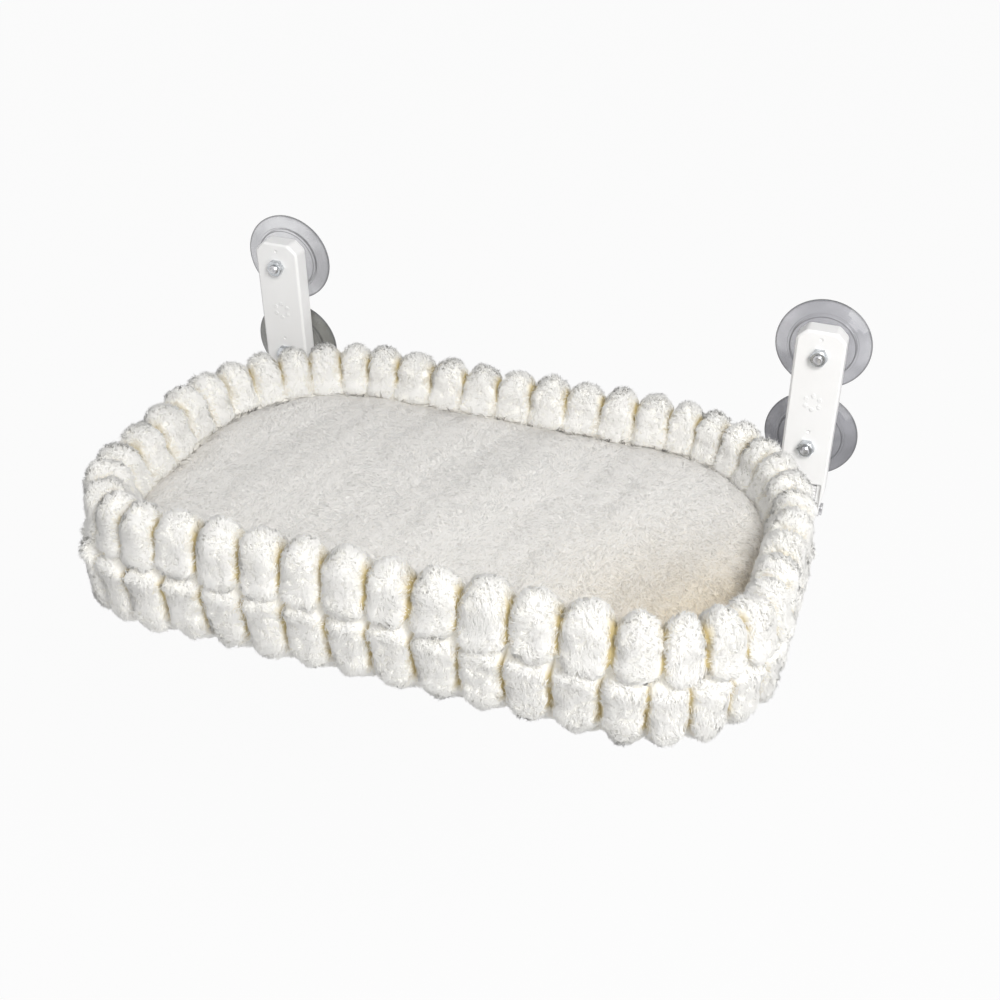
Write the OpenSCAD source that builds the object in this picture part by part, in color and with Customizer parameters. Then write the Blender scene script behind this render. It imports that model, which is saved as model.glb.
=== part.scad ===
// Window mounted cat perch: four suction cups carry two brackets, and a plush
// bed stands on a tube frame that folds down about pins in the brackets' feet.
// The window pane is the plane y = 0 and the room is at -Y. The origin is the
// centre of the four suction cups. +Z is up.

/* [Bed] */
// Length of the bed along the window
bed_l = 550; // [480:10:620]
// Depth of the bed, out from the window
bed_w = 330; // [300:5:360]
// Radius of the bed's front corners in plan
front_corner_r = 100; // [90:1:110]
// Radius of the bed's rear corners in plan
rear_corner_r = 150; // [130:1:160]
// Gap between the window pane and the back of the bed
bed_gap = 27; // [22:1:40]
// Height of the lower row of plush ribs
lower_row_h = 52.2; // [46:0.2:58]
// Height of the upper row of plush ribs
upper_row_h = 40.2; // [34:0.2:46]
// Width of the upper row
upper_row_w = 37; // [33:1:41]
// Width of the lower row
lower_row_w = 32; // [28:1:36]
// Number of plush ribs round the bed
rib_count = 48; // [36:1:56]
// Distance of the first groove from the middle of the front
first_groove = -8.5; // [-16:0.5:16]
// Shift of the ribs towards the back, which makes the front ribs the wider ones
rib_shift = 6; // [0:1:10]
// Depth of the grooves between the ribs
rib_depth = 8; // [4:0.5:10]
// Thickness of the cushion under the sleeping mat
cushion_h = 24; // [18:1:28]
// Thickness of the sleeping mat at its edge
mat_edge_t = 26; // [18:1:30]
// Extra thickness of the mat in its middle
mat_crown = 4.5; // [0:0.5:8]
// Clearance between soft pieces
soft_gap = 0.3; // [0.2:0.05:0.4]

/* [Base of the bed] */
// Thickness of the cloth under the bed
cloth_t = 1.2; // [0.8:0.1:2]
// Thickness of the stiff board
board_t = 5; // [3:0.5:6]

/* [Suction cups] */
// Diameter of a cup's lip
cup_d = 80; // [70:1:84]
// Gap between the lips of a bracket's two cups
cup_gap = 6; // [4:1:12]
// Diameter of a cup's thick middle
cup_ring_d = 58; // [50:1:62]
// Height of the thick middle's edge above the pane
cup_ring_h = 6.6; // [5:0.1:7]
// Diameter of a cup's neck
cup_neck_d = 26; // [20:1:28]
// Distance from the pane to the end of a cup's neck
cup_neck_h = 15; // [13:0.5:17]
// Thickness of a cup's lip
lip_t = 0.9; // [0.6:0.1:1.5]
// Width of the lip that lies flat on the pane
lip_w = 4; // [3:0.5:6]
// Depth of the hollow behind a cup
hollow_h = 2.4; // [1.5:0.1:3]

/* [Studs and nuts] */
// Diameter of a stud
stud_d = 8; // [6:0.5:10]
// Diameter of the stud's moulded-in head
stud_head_d = 18; // [14:1:20]
// Thickness of the stud's head
stud_head_t = 2; // [1.5:0.5:3]
// Distance from the end of the neck to the stud's head
stud_sink = 4.5; // [3:0.5:6]
// Width of a nut across its flats
nut_af = 13; // [11:0.5:16]
// Height of a nut
nut_h = 6; // [4:0.5:7]
// Length of stud that stands out of the nut
stud_proud = 2.4; // [0.5:0.1:4]

/* [Brackets] */
// Distance of the brackets' centre lines inside the ends of the bed
bracket_inset = 30; // [22:1:45]
// Distance from the lower stud to the foot of a bracket
foot_below_stud = 76.5; // [72:0.5:90]
// Width of a bracket
plate_w = 41; // [38:1:46]
// Thickness of a bracket's front plate
plate_t = 3; // [2:0.25:4]
// Thickness of a bracket's side walls
flange_t = 3; // [2:0.25:3.5]
// Distance from the pane to the back edges of the side walls
flange_back = 8; // [7.5:0.25:10]
// Depth of a bracket from its face to its back edges
bracket_depth = 16; // [15:0.5:20]
// Height of a bracket's top above its upper stud
plate_above_stud = 22; // [18:1:28]
// Size of the chamfer at a bracket's top corners
top_chamfer = 8; // [4:1:12]
// Rounding of the corners of a bracket's outline
outline_r = 5; // [2:0.5:6]
// Bevel round a bracket's front face
face_bevel = 1.8; // [0.5:0.1:2.5]
// Height of the opening at a bracket's lower end
window_h = 39; // [36:0.5:43]
// Height of the bevel at the lower end of the front plate
end_bevel = 2.6; // [1:0.1:3]
// Height of the end of the narrowing above the foot
taper_above_foot = 5; // [3:1:8]
// Height of the narrowing
taper_h = 26; // [20:1:30]
// Narrowing of the foot on each side
taper_in = 4.5; // [2:0.5:6]
// Diameter of the dimple above each nut
dimple_d = 3; // [2:0.5:4]
// Distance of the dimple above the stud
dimple_rise = 15; // [12:1:17]
// Depth of a dimple
dimple_h = 1.2; // [0.6:0.1:1.8]
// Height of the raised dots on the front plate
dot_h = 0.5; // [0.3:0.1:1]
// Diameter of a raised dot
dot_d = 3.4; // [2:0.2:5]
// Radius of the ring of dots
dot_ring_r = 6.5; // [5:0.5:9]
// Number of dots in the ring
dot_count = 6; // [4:1:8]

/* [Hinges] */
// Height of the pins above a bracket's foot
pin_above_foot = 12; // [11:0.5:16]
// Diameter of a hinge pin
pin_d = 6; // [5:0.5:7]
// Running clearance of a pin on its radius
pin_clear = 0.05; // [0.02:0.01:0.1]
// Diameter of a knuckle's barrel
knuckle_d = 16; // [14:0.5:17]
// Width of a knuckle's barrel
knuckle_w = 24; // [20:0.5:24]
// Gap between the barrel and the bosses beside it
side_gap = 0.3; // [0.2:0.1:0.6]
// Diameter of the bosses round the pin
pin_boss_d = 14; // [11:0.5:15]
// Diameter of a pin's head
pin_head_d = 11; // [9:0.5:13]
// Thickness of a pin's head
pin_head_t = 2.5; // [1.5:0.25:3]
// Thickness of the push-on cap that keeps a pin in
pin_cap_t = 3; // [2:0.25:4]

/* [Fold locks] */
// Upward travel of a lock slide
lock_travel = 5; // [3:0.5:6]
// Height of a lock slide's face
lock_h = 13; // [11:0.5:14]
// Width of a lock slide's face
lock_w = 27; // [22:0.5:27]
// Thickness of a lock slide
lock_t = 8.5; // [7:0.25:9]
// Width of the runners on each side of a lock slide
runner_w = 1.7; // [1:0.1:1.8]
// Thickness of the runners
runner_t = 4.9; // [3:0.1:5.2]
// Running gap of a lock slide
lock_gap = 0.3; // [0.2:0.05:0.5]
// Width of the nose that bears on the knuckle
nose_w = 20; // [14:1:22]
// Thickness of the nose
nose_t = 4; // [2:0.5:4.5]
// Distance from the nose to the knuckle's barrel
nose_gap = 0.3; // [0.2:0.05:0.5]
// Length of a lock spring at rest
spring_l = 14; // [12:0.5:16]
// Diameter of a lock spring
spring_d = 7; // [5:0.5:9]
// Diameter of the spring wire
wire_d = 0.9; // [0.6:0.1:1.2]
// Number of turns of a lock spring
spring_turns = 5; // [4:1:6]
// Thickness of the ledge over the spring
ledge_t = 3; // [2:0.5:4]

/* [Frame] */
// Diameter of the frame tube
tube_d = 14; // [12:0.5:16]
// Wall of the frame tube
tube_wall = 1.2; // [0.8:0.1:2]
// Distance of the tubes' axes below the pins
tube_drop = 3.65; // [2:0.05:5]
// Distance from the pane to the ends of the side tubes
tube_start = 34; // [30:1:40]
// Distance of the front tube inside the bed's front
front_inset = 38; // [32:1:44]
// Bend radius of the front corners
elbow_r = 75; // [65:1:85]
// Length of the plugs that join the tubes
plug_l = 28; // [18:1:34]
// Clearance of a plug in its tube
plug_clear = 0.05; // [0.02:0.01:0.1]
// Distance from the pane to the rear bar
bar_y = 85; // [78:1:95]
// Diameter of the rear bar
bar_d = 10; // [8:0.5:11]
// Depth to which the rear bar enters a side tube
bar_entry = 4; // [2:0.5:5]
// Diameter of a frame screw
screw_d = 3; // [2.5:0.5:4]
// Length of a frame screw below its head
screw_l = 5; // [4:0.5:6]
// Diameter of a screw's head
screw_head_d = 5.6; // [4.5:0.1:7]
// Height of a screw's head
screw_head_h = 1.6; // [1:0.1:2.5]
// Distance of a screw from the end of its tube
screw_inset = 14; // [8:1:18]

/* [Straps] */
// Width of a strap
strap_w = 24; // [15:1:30]
// Thickness of a strap
strap_t = 1.2; // [0.8:0.1:1.6]
// Gap between a strap and what it holds
strap_gap = 0.15; // [0.1:0.05:0.2]
// Length of the sewn tab of a strap
tab_l = 34; // [26:1:44]
// Distance of the rear side straps in front of the rear bar
rear_strap_out = 50; // [44:1:60]
// Distance of the front side straps behind the ends of the side tubes
front_strap_in = 40; // [34:1:50]
// Distance of the front straps inside the ends of the front tube
front_tube_strap_in = 50; // [30:1:90]

/* [Hidden] */
$fn = 48;

// Overrun of cuts
over = 1;

// Colours
white = [0.95, 0.95, 0.94];
clear = [0.80, 0.84, 0.86, 0.5];
zinc = [0.72, 0.74, 0.76];
steel = [0.60, 0.61, 0.63];
plush = [0.97, 0.95, 0.90];
fleece = [0.93, 0.91, 0.87];
cloth = [0.86, 0.85, 0.82];
wood = [0.78, 0.66, 0.50];
webbing = [0.90, 0.89, 0.86];

// Brackets and cups
stud_z = (cup_d + cup_gap) / 2;
plate_top = stud_z + plate_above_stud;
foot_z = -stud_z - foot_below_stud;
face_y = -flange_back - bracket_depth;
web_y = face_y + plate_t;
web_end = foot_z + window_h;
taper_end = foot_z + taper_above_foot;
taper_top = taper_end + taper_h;
half_w = plate_w / 2;
inner_half = half_w - flange_t;
stud_boss_wall = 5;
stud_boss_d = stud_d + 2 * stud_boss_wall;
stud_clear = 0.1;
cup_clear = 0.05;
nut_chamfer = 1;
stud_chamfer = 1.1;
head_y = -cup_neck_h + stud_sink;
stud_end = face_y - nut_h - stud_proud;

// Hinges
pivot_y = (face_y - flange_back) / 2;
pivot_z = foot_z + pin_above_foot;
seat_proud = 2.4;
pin_seat = half_w - taper_in + seat_proud;
boss_in = knuckle_w / 2 + side_gap;
cap_rim = 0.5;
cap_d = pin_head_d + 2 * cap_rim;
foot_r = bracket_depth / 2;
pin_chamfer = 0.8;

// Fold locks
barrel_top = pivot_z + knuckle_d / 2;
nose_z = barrel_top + nose_gap;
nose_h = 3.7;
lock_z = nose_z + nose_h;
lock_top = lock_z + lock_h;
ledge_z = lock_top + spring_l;
lock_face_gap = 0.4;
lock_front = web_y + lock_face_gap;
lock_back = lock_front + lock_t;
runner_y = lock_front + lock_t / 2;
rail_w = 2;
grip_h = 1.2;
grip_step = 3.2;
rail_above_nose = 1;
spring_gap = 0.1;
rail_foot = nose_z + rail_above_nose;
lock_stop_z = lock_top + lock_travel + lock_gap;

// Frame and bed heights
tube_r = tube_d / 2;
tube_z = pivot_z - tube_drop;
bed_bottom = tube_z + tube_r + strap_gap + strap_t + soft_gap;
tube_in_r = tube_r - tube_wall;
plug_r = tube_in_r - plug_clear;
tube_x = bed_l / 2 - bracket_inset;
bed_front_y = -bed_gap - bed_w;
front_y = bed_front_y + front_inset;
elbow_y = front_y + elbow_r;
elbow_x = tube_x - elbow_r;
rear_strap_y = bar_y + rear_strap_out;
front_strap_y = -elbow_y - front_strap_in;
front_strap_x = elbow_x - front_tube_strap_in;
lower_top = bed_bottom + lower_row_h;
upper_bottom = lower_top + soft_gap;
board_z = bed_bottom + cloth_t + soft_gap;
cushion_z = board_z + board_t + soft_gap;
mat_z = cushion_z + cushion_h + soft_gap;
base_inset = lower_row_w + soft_gap;
bed_mid_y = -bed_gap - bed_w / 2;

// Sections of the two rows, as [share of the width inwards, share of the height,
// share of the groove's depth by which the point is drawn in between two ribs]
upper_section_shares = [
    [0.18, 0.00, 0.6], [0.00, 0.36, 1.0], [0.06, 0.74, 1.0], [0.34, 0.98, 0.9],
    [0.68, 0.97, 0.9], [0.96, 0.70, 0.9], [1.00, 0.36, 0.8], [0.82, 0.06, 0.3]
];
lower_section_shares = [
    [0.95, 0.00, 0.0], [0.45, 0.00, 0.2], [0.20, 0.06, 0.9], [0.03, 0.25, 1.0],
    [0.00, 0.55, 1.0], [0.05, 0.84, 1.0], [0.20, 1.00, 0.6], [1.00, 1.00, 0.0]
];
// Steps along one rib and how much of the groove's depth each one has
groove_shares = [1, 0, 0];
// Rings of the sleeping mat: [inset in edge thicknesses, share of the edge
// thickness, share of the crown, share of the plan]
mat_ring_shares = [
    [0.20, 0.00, 0.0, 1], [0.00, 0.25, 0.0, 1], [0.02, 0.70, 0.0, 1], [0.25, 1.00, 0.0, 1],
    [0.25, 1.00, 0.6, 0.80], [0.25, 1.00, 0.95, 0.45]
];
mat_steps = 72;

// The bed's outline: u runs along it from the middle of the front towards +X
front_corner_l = PI * front_corner_r / 2;
rear_corner_l = PI * rear_corner_r / 2;
front_x = bed_l / 2 - front_corner_r;
rear_x = bed_l / 2 - rear_corner_r;
front_corner_y = bed_front_y + front_corner_r;
rear_corner_y = -bed_gap - rear_corner_r;
side_u = front_x + front_corner_l;
rear_corner_u = side_u + rear_corner_y - front_corner_y;
rear_u = rear_corner_u + rear_corner_l;
outline_l = 2 * (rear_u + rear_x);

function turn_angle(u, r) = u / r * 180 / PI;
// Centre, direction and radius of the arc under a point on the half at +X
function half_place(u) =
    u < front_x ? [u, front_corner_y, -90, front_corner_r] :
    u < side_u ? [front_x, front_corner_y, -90 + turn_angle(u - front_x, front_corner_r), front_corner_r] :
    u < rear_corner_u ? [front_x, front_corner_y + u - side_u, 0, front_corner_r] :
    u < rear_u ? [rear_x, rear_corner_y, turn_angle(u - rear_corner_u, rear_corner_r), rear_corner_r] :
    [rear_x - (u - rear_u), rear_corner_y, 90, rear_corner_r];
function place(u) =
    let (h = outline_l / 2, w = u - outline_l * floor(u / outline_l))
    w <= h ? half_place(w) : let (q = half_place(outline_l - w)) [-q[0], q[1], 180 - q[2], q[3]];
function bed_point(u, inset) =
    let (p = place(u), r = p[3] - inset)
    [p[0] + r * cos(p[2]), p[1] + r * sin(p[2])];
// Place along the outline after a share of the ribs
function rib_u(share) =
    let (u = outline_l * share + first_groove)
    u + rib_shift * sin(360 * u / outline_l);

// Closed ring with the section of one row and its grooves
function row_ring(shares, width, height, z, groove, u) =
    [for (s = shares)
        let (
            draw = groove * s[2] * rib_depth,
            mid = [0.5, 0.5],
            out = [(s[0] - mid[0]) * width, (s[1] - mid[1]) * height],
            in = out * (1 - draw / norm(out)),
            p = bed_point(u, mid[0] * width + in[0])
        )
        [p[0], p[1], z + mid[1] * height + in[1]]];

module ribbed_row(shares, width, height, z) {
    k = len(shares);
    steps = rib_count * len(groove_shares);
    points = [for (i = [0 : steps - 1])
        let (
            g = groove_shares[i % len(groove_shares)],
            u = rib_u(i / steps)
        )
        each row_ring(shares, width, height, z, g, u)];
    faces = [for (i = [0 : steps - 1], j = [0 : k - 1])
        let (
            a = i * k + j,
            b = i * k + (j + 1) % k,
            c = ((i + 1) % steps) * k + (j + 1) % k,
            d = ((i + 1) % steps) * k + j,
            closing = i % len(groove_shares) == len(groove_shares) - 1
        )
        each closing ? [[a, d, b], [b, d, c]] : [[a, c, b], [a, d, c]]];
    polyhedron(points, faces, convexity = 6);
}

// Flat plate with the bed's outline, drawn in
module bed_plate(inset, z, t) {
    translate([0, 0, z])
        linear_extrude(t)
            polygon([for (i = [0 : mat_steps - 1]) bed_point(outline_l * i / mat_steps, inset)]);
}

// Corners of an outline, each rounded with a short arc
function rounded(points, r, steps) =
    [for (i = [0 : len(points) - 1])
        let (
            n = len(points),
            p = points[i],
            a = points[(i + n - 1) % n] - p,
            b = points[(i + 1) % n] - p,
            ua = a / norm(a),
            ub = b / norm(b),
            half = acos(ua * ub) / 2,
            cut = min(r / tan(half), norm(a) / 2, norm(b) / 2),
            rr = cut * tan(half),
            axis = (ua + ub) / norm(ua + ub),
            c = p + axis * rr / sin(half),
            from = p + ua * cut - c,
            to = p + ub * cut - c,
            a0 = atan2(from[1], from[0]),
            turn = atan2(from[0] * to[1] - from[1] * to[0], from * to)
        )
        for (k = [0 : steps]) c + rr * [cos(a0 + turn * k / steps), sin(a0 + turn * k / steps)]];

// Front outline of a bracket, drawn in by a wall or a bevel
function bracket_outline(in) =
    let (w = half_w - in, f = half_w - taper_in - in, c = top_chamfer)
    [[w, plate_top - c], [w - c, plate_top - in], [c - w, plate_top - in], [-w, plate_top - c],
     [-w, taper_top], [-f, taper_end], [-f, foot_z - over], [f, foot_z - over],
     [f, taper_end], [w, taper_top]];

// Prism standing on the plane y = from and running to y = to, away from the pane
module along_y(from, to) {
    translate([0, from, 0])
        rotate([90, 0, 0])
            linear_extrude(from - to)
                children();
}

// Prism across a bracket, drawn in [y, z]
module across(w) {
    rotate([90, 0, 90])
        linear_extrude(w, center = true)
            children();
}

// Cylinder from one point along X
module rod_x(x0, x1, d) {
    translate([min(x0, x1), 0, 0])
        rotate([0, 90, 0])
            cylinder(h = abs(x1 - x0), d = d);
}

// Cylinder along Y between two depths
module rod_y(from, to, d) {
    translate([0, from, 0])
        rotate([90, 0, 0])
            cylinder(h = from - to, d = d);
}

module at_studs() {
    for (z = [-stud_z, stud_z])
        translate([0, 0, z])
            children();
}

module bracket_body() {
    along_y(-flange_back, face_y + face_bevel)
        polygon(rounded(bracket_outline(0), outline_r, 4));
    hull() {
        along_y(web_y, face_y + face_bevel)
            polygon(rounded(bracket_outline(0), outline_r, 4));
        along_y(web_y, face_y)
            polygon(rounded(bracket_outline(face_bevel), outline_r, 4));
    }
}

module bracket_shell() {
    difference() {
        bracket_body();
        along_y(-flange_back + over, web_y)
            polygon(rounded(bracket_outline(flange_t), outline_r - flange_t / 2, 4));
    }
}

// Opening in the front plate over the lock slide and the hinge
module front_window() {
    translate([-inner_half, face_y - over, foot_z - over])
        cube([2 * inner_half, plate_t + over, web_end - foot_z + over]);
    across(2 * inner_half)
        polygon([[face_y - over, web_end - over], [face_y - over, web_end + end_bevel + over],
                 [face_y + end_bevel, web_end], [face_y + end_bevel, web_end - over]]);
}

// Stud bosses, the rails of the lock slide and the ledge over its spring
module bracket_inside() {
    at_studs()
        rod_y(-cup_neck_h, web_y, stud_boss_d);
    intersection() {
        lock_rails();
        along_y(-flange_back, web_y)
            polygon(rounded(bracket_outline(flange_t / 2), outline_r - flange_t / 2, 4));
    }
    translate([-half_w + flange_t / 2, web_y, ledge_z])
        cube([plate_w - flange_t, lock_back - web_y, ledge_t]);
}

module lock_rails() {
    for (s = [-1, 1])
        scale([s, 1, 1])
            translate([lock_w / 2 + lock_gap, 0, 0]) {
                w = inner_half - lock_w / 2;
                translate([0, web_y, rail_foot])
                    cube([w, runner_y - runner_t / 2 - lock_gap - web_y, ledge_z - rail_foot]);
                translate([0, runner_y + runner_t / 2 + lock_gap, rail_foot])
                    cube([w, rail_w, ledge_z - rail_foot]);
                translate([0, web_y, rail_foot])
                    cube([w, lock_back - web_y, lock_z - lock_gap - rail_foot]);
                translate([0, web_y, lock_stop_z])
                    cube([w, lock_back - web_y, ledge_z - lock_stop_z]);
            }
}

module bracket() {
    color(white)
        difference() {
            union() {
                intersection() {
                    difference() {
                        union() {
                            bracket_shell();
                            bracket_inside();
                        }
                        front_window();
                    }
                    foot_profile();
                }
                translate([0, pivot_y, pivot_z])
                    for (s = [-1, 1])
                        rod_x(s * boss_in, s * pin_seat, pin_boss_d);
            }
            at_studs() {
                rod_y(-flange_back, face_y - over, stud_d + 2 * stud_clear);
                translate([0, 0, dimple_rise])
                    rod_y(face_y + dimple_h, face_y - over, dimple_d);
            }
            translate([0, pivot_y, pivot_z])
                rod_x(-half_w - over, half_w + over, pin_d + 2 * pin_clear);
        }
    color(white)
        for (k = [1 : dot_count])
            rotate([0, 360 * k / dot_count, 0])
                translate([0, 0, dot_ring_r])
                    rod_y(face_y, face_y - dot_h, dot_d);
}

// Side view of a bracket: straight down to a round foot
module foot_profile() {
    across(plate_w + 2 * over) {
        translate([face_y, foot_z + foot_r])
            square([bracket_depth, plate_top - foot_z - foot_r + over]);
        translate([face_y + foot_r, foot_z + foot_r])
            circle(r = foot_r);
    }
}

module suction_cup() {
    r = cup_d / 2;
    ring = cup_ring_d / 2;
    neck = cup_neck_d / 2;
    crown = cup_ring_h + lip_t;
    color(clear)
        rotate([90, 0, 0])
            difference() {
                rotate_extrude($fn = 96)
                    polygon([
                        [0, hollow_h], [ring, hollow_h / 2], [r - lip_w, 0], [r, 0], [r, lip_t],
                        [(r + ring) / 2, cup_ring_h / 2], [ring + lip_t, cup_ring_h - 2 * lip_t],
                        [ring, cup_ring_h], [ring - lip_t, cup_ring_h + lip_t / 3],
                        [neck + 2 * lip_t, crown], [neck, crown + lip_t], [neck, cup_neck_h - lip_t],
                        [neck - lip_t, cup_neck_h], [0, cup_neck_h]
                    ]);
                translate([0, 0, -head_y - stud_head_t])
                    cylinder(h = stud_head_t, d = stud_head_d + 2 * cup_clear);
                translate([0, 0, -head_y - stud_head_t / 2])
                    cylinder(h = cup_neck_h, d = stud_d + 2 * cup_clear);
            }
}

module stud() {
    color(steel)
        rotate([90, 0, 0]) {
            translate([0, 0, -head_y - stud_head_t])
                cylinder(h = stud_head_t, d = stud_head_d);
            translate([0, 0, -head_y - stud_head_t / 2])
                cylinder(h = head_y + stud_head_t / 2 - stud_end - stud_chamfer, d = stud_d);
            translate([0, 0, -stud_end - stud_chamfer])
                cylinder(h = stud_chamfer, d1 = stud_d, d2 = stud_d - 2 * stud_chamfer);
        }
}

module nut() {
    across_corners = nut_af / cos(30);
    color(zinc)
        translate([0, face_y, 0])
            rotate([90, 0, 0])
                difference() {
                    intersection() {
                        cylinder(h = nut_h, d = across_corners, $fn = 6);
                        union() {
                            cylinder(h = nut_h - nut_chamfer, d = across_corners + over);
                            translate([0, 0, nut_h - nut_chamfer])
                                cylinder(h = nut_chamfer, d1 = across_corners, d2 = nut_af - nut_chamfer);
                        }
                    }
                    translate([0, 0, -over])
                        cylinder(h = nut_h + 2 * over, d = stud_d + 2 * cup_clear);
                }
}

// The head is on the outer side of each bracket
module hinge_pin(s) {
    color(steel)
        translate([s * tube_x, pivot_y, pivot_z]) {
            rod_x(-s * (pin_seat + pin_cap_t - pin_chamfer), s * (pin_seat + pin_head_t / 2), pin_d);
            rod_x(s * pin_seat, s * (pin_seat + pin_head_t), pin_head_d);
        }
}

module pin_cap(s) {
    color(zinc)
        translate([s * tube_x, pivot_y, pivot_z])
            difference() {
                rod_x(-s * pin_seat, -s * (pin_seat + pin_cap_t), cap_d);
                rod_x(-s * (pin_seat - over), -s * (pin_seat + pin_cap_t - pin_chamfer + cup_clear),
                      pin_d + 2 * cup_clear);
            }
}

module lock_slide() {
    color(white)
        difference() {
            union() {
                translate([-lock_w / 2, lock_front, lock_z])
                    cube([lock_w, lock_t, lock_h]);
                translate([-lock_w / 2 - runner_w, runner_y - runner_t / 2, lock_z])
                    cube([lock_w + 2 * runner_w, runner_t, lock_h]);
                translate([-nose_w / 2, pivot_y - nose_t / 2, nose_z])
                    cube([nose_w, nose_t, lock_z - nose_z + over]);
            }
            for (k = [-1, 0, 1])
                translate([-lock_w, lock_front - grip_h / 2, lock_z + lock_h / 2 + k * grip_step])
                    rotate([0, 90, 0])
                        cylinder(h = 2 * lock_w, d = 2 * grip_h);
        }
}

// Spring wire: a helix whose ends lie flat on the slide and the ledge
function spring_point(t) =
    let (
        r = (spring_d - wire_d) / 2,
        rise = spring_l - wire_d - 2 * spring_gap,
        a = 360 * spring_turns * t
    )
    [r * cos(a), r * sin(a), wire_d / 2 + spring_gap + rise * t];

module lock_spring() {
    sides = 6;
    rings = 8 * spring_turns;
    points = [for (i = [0 : rings])
        let (
            p = spring_point(i / rings),
            a = 360 * spring_turns * i / rings,
            out = [cos(a), sin(a), 0]
        )
        for (k = [0 : sides - 1])
            p + wire_d / 2 * (out * cos(360 * k / sides) + [0, 0, 1] * sin(360 * k / sides))];
    faces = concat(
        [[for (k = [0 : sides - 1]) k]],
        [[for (k = [sides - 1 : -1 : 0]) rings * sides + k]],
        [for (i = [0 : rings - 1], k = [0 : sides - 1])
            let (
                a = i * sides + k,
                b = i * sides + (k + 1) % sides,
                c = (i + 1) * sides + (k + 1) % sides,
                d = (i + 1) * sides + k
            )
            each [[a, c, b], [a, d, c]]]
    );
    turn_gap = (spring_l - wire_d) / spring_turns - wire_d;
    echo(least_gap_of_the_spring = turn_gap);
    color(steel)
        translate([0, pivot_y, lock_top])
            polyhedron(points, faces, convexity = 8);
}

module knuckle(s) {
    color(white)
        translate([s * tube_x, 0, 0])
            difference() {
                union() {
                    translate([0, pivot_y, pivot_z])
                        rod_x(-knuckle_w / 2, knuckle_w / 2, knuckle_d);
                    translate([0, 0, tube_z]) {
                        rod_y(pivot_y, -tube_start, tube_d);
                        rod_y(pivot_y, -tube_start - plug_l, 2 * plug_r);
                    }
                }
                translate([0, pivot_y, pivot_z])
                    rod_x(-knuckle_w, knuckle_w, pin_d + 2 * pin_clear);
                translate([0, -tube_start - screw_inset, tube_z])
                    screw_hole(s);
            }
}

// Hole for a screw that enters a tube from its inner side
module screw_hole(s) {
    rod_x(-s * (tube_r + over), -s * (tube_r - screw_l - over), screw_d + 2 * plug_clear);
}

module frame_screw() {
    rod_x(-tube_r - plug_clear, -tube_r + screw_l, screw_d);
    rod_x(-tube_r - screw_head_h, -tube_r, screw_head_d);
}

module side_tube(s) {
    color(white)
        translate([s * tube_x, 0, tube_z])
            difference() {
                rod_y(-tube_start, elbow_y, tube_d);
                rod_y(-tube_start + over, elbow_y - over, 2 * tube_in_r);
                translate([0, -tube_start - screw_inset, 0])
                    screw_hole(s);
                translate([0, elbow_y + screw_inset, 0])
                    screw_hole(s);
                translate([0, -bar_y, 0])
                    rod_x(-s * (tube_r + over), 0, bar_d + 2 * plug_clear);
            }
}

module elbow(s) {
    color(white)
        translate([s * elbow_x, elbow_y, tube_z])
            scale([s, 1, 1])
                difference() {
                    union() {
                        rotate([0, 0, -90])
                            rotate_extrude(angle = 90)
                                translate([elbow_r, 0])
                                    circle(d = tube_d);
                        translate([elbow_r, 0, 0])
                            rod_y(plug_l, 0, 2 * plug_r);
                        translate([0, -elbow_r, 0])
                            rod_x(-plug_l, 0, 2 * plug_r);
                    }
                    translate([elbow_r, screw_inset, 0])
                        screw_hole(1);
                    translate([-screw_inset, -elbow_r, 0])
                        rotate([0, 0, -90])
                            screw_hole(1);
                }
}

module front_tube() {
    color(white)
        translate([0, front_y, tube_z])
            difference() {
                rod_x(-elbow_x, elbow_x, tube_d);
                rod_x(-elbow_x - over, elbow_x + over, 2 * tube_in_r);
                for (s = [-1, 1])
                    translate([s * (elbow_x - screw_inset), 0, 0])
                        rotate([0, 0, -90])
                            screw_hole(1);
            }
}

module rear_bar() {
    end = tube_x - tube_r + bar_entry;
    color(white)
        translate([0, -bar_y, tube_z])
            rod_x(-end, end, bar_d);
}

module frame_screws() {
    color(zinc)
        for (s = [-1, 1])
            scale([s, 1, 1]) {
                for (y = [-tube_start - screw_inset, elbow_y + screw_inset])
                    translate([tube_x, y, tube_z])
                        frame_screw();
                translate([elbow_x - screw_inset, front_y, tube_z])
                    rotate([0, 0, -90])
                        frame_screw();
            }
}

// Strap round a tube that runs along Y, with its tab against the bed
module strap() {
    loop_r = tube_r + strap_gap;
    color(webbing)
        difference() {
            union() {
                rod_y(strap_w / 2, -strap_w / 2, 2 * (loop_r + strap_t));
                translate([-tab_l / 2, -strap_w / 2, loop_r])
                    cube([tab_l, strap_w, strap_t]);
            }
            rod_y(strap_w, -strap_w, 2 * loop_r);
        }
}

module side_strap(s, y) {
    translate([s * tube_x, -y, tube_z])
        strap();
}

module front_strap(s) {
    translate([s * front_strap_x, front_y, tube_z])
        rotate([0, 0, 90])
            strap();
}

module base_cloth() {
    color(cloth)
        bed_plate(base_inset, bed_bottom, cloth_t);
}

module base_board() {
    color(wood)
        bed_plate(base_inset, board_z, board_t);
}

module base_cushion() {
    color(cloth)
        bed_plate(base_inset, cushion_z, cushion_h);
}

module lower_rib_ring() {
    color(plush)
        ribbed_row(lower_section_shares, lower_row_w, lower_row_h, bed_bottom);
}

module upper_rib_ring() {
    color(plush)
        ribbed_row(upper_section_shares, upper_row_w, upper_row_h, upper_bottom);
}

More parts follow.
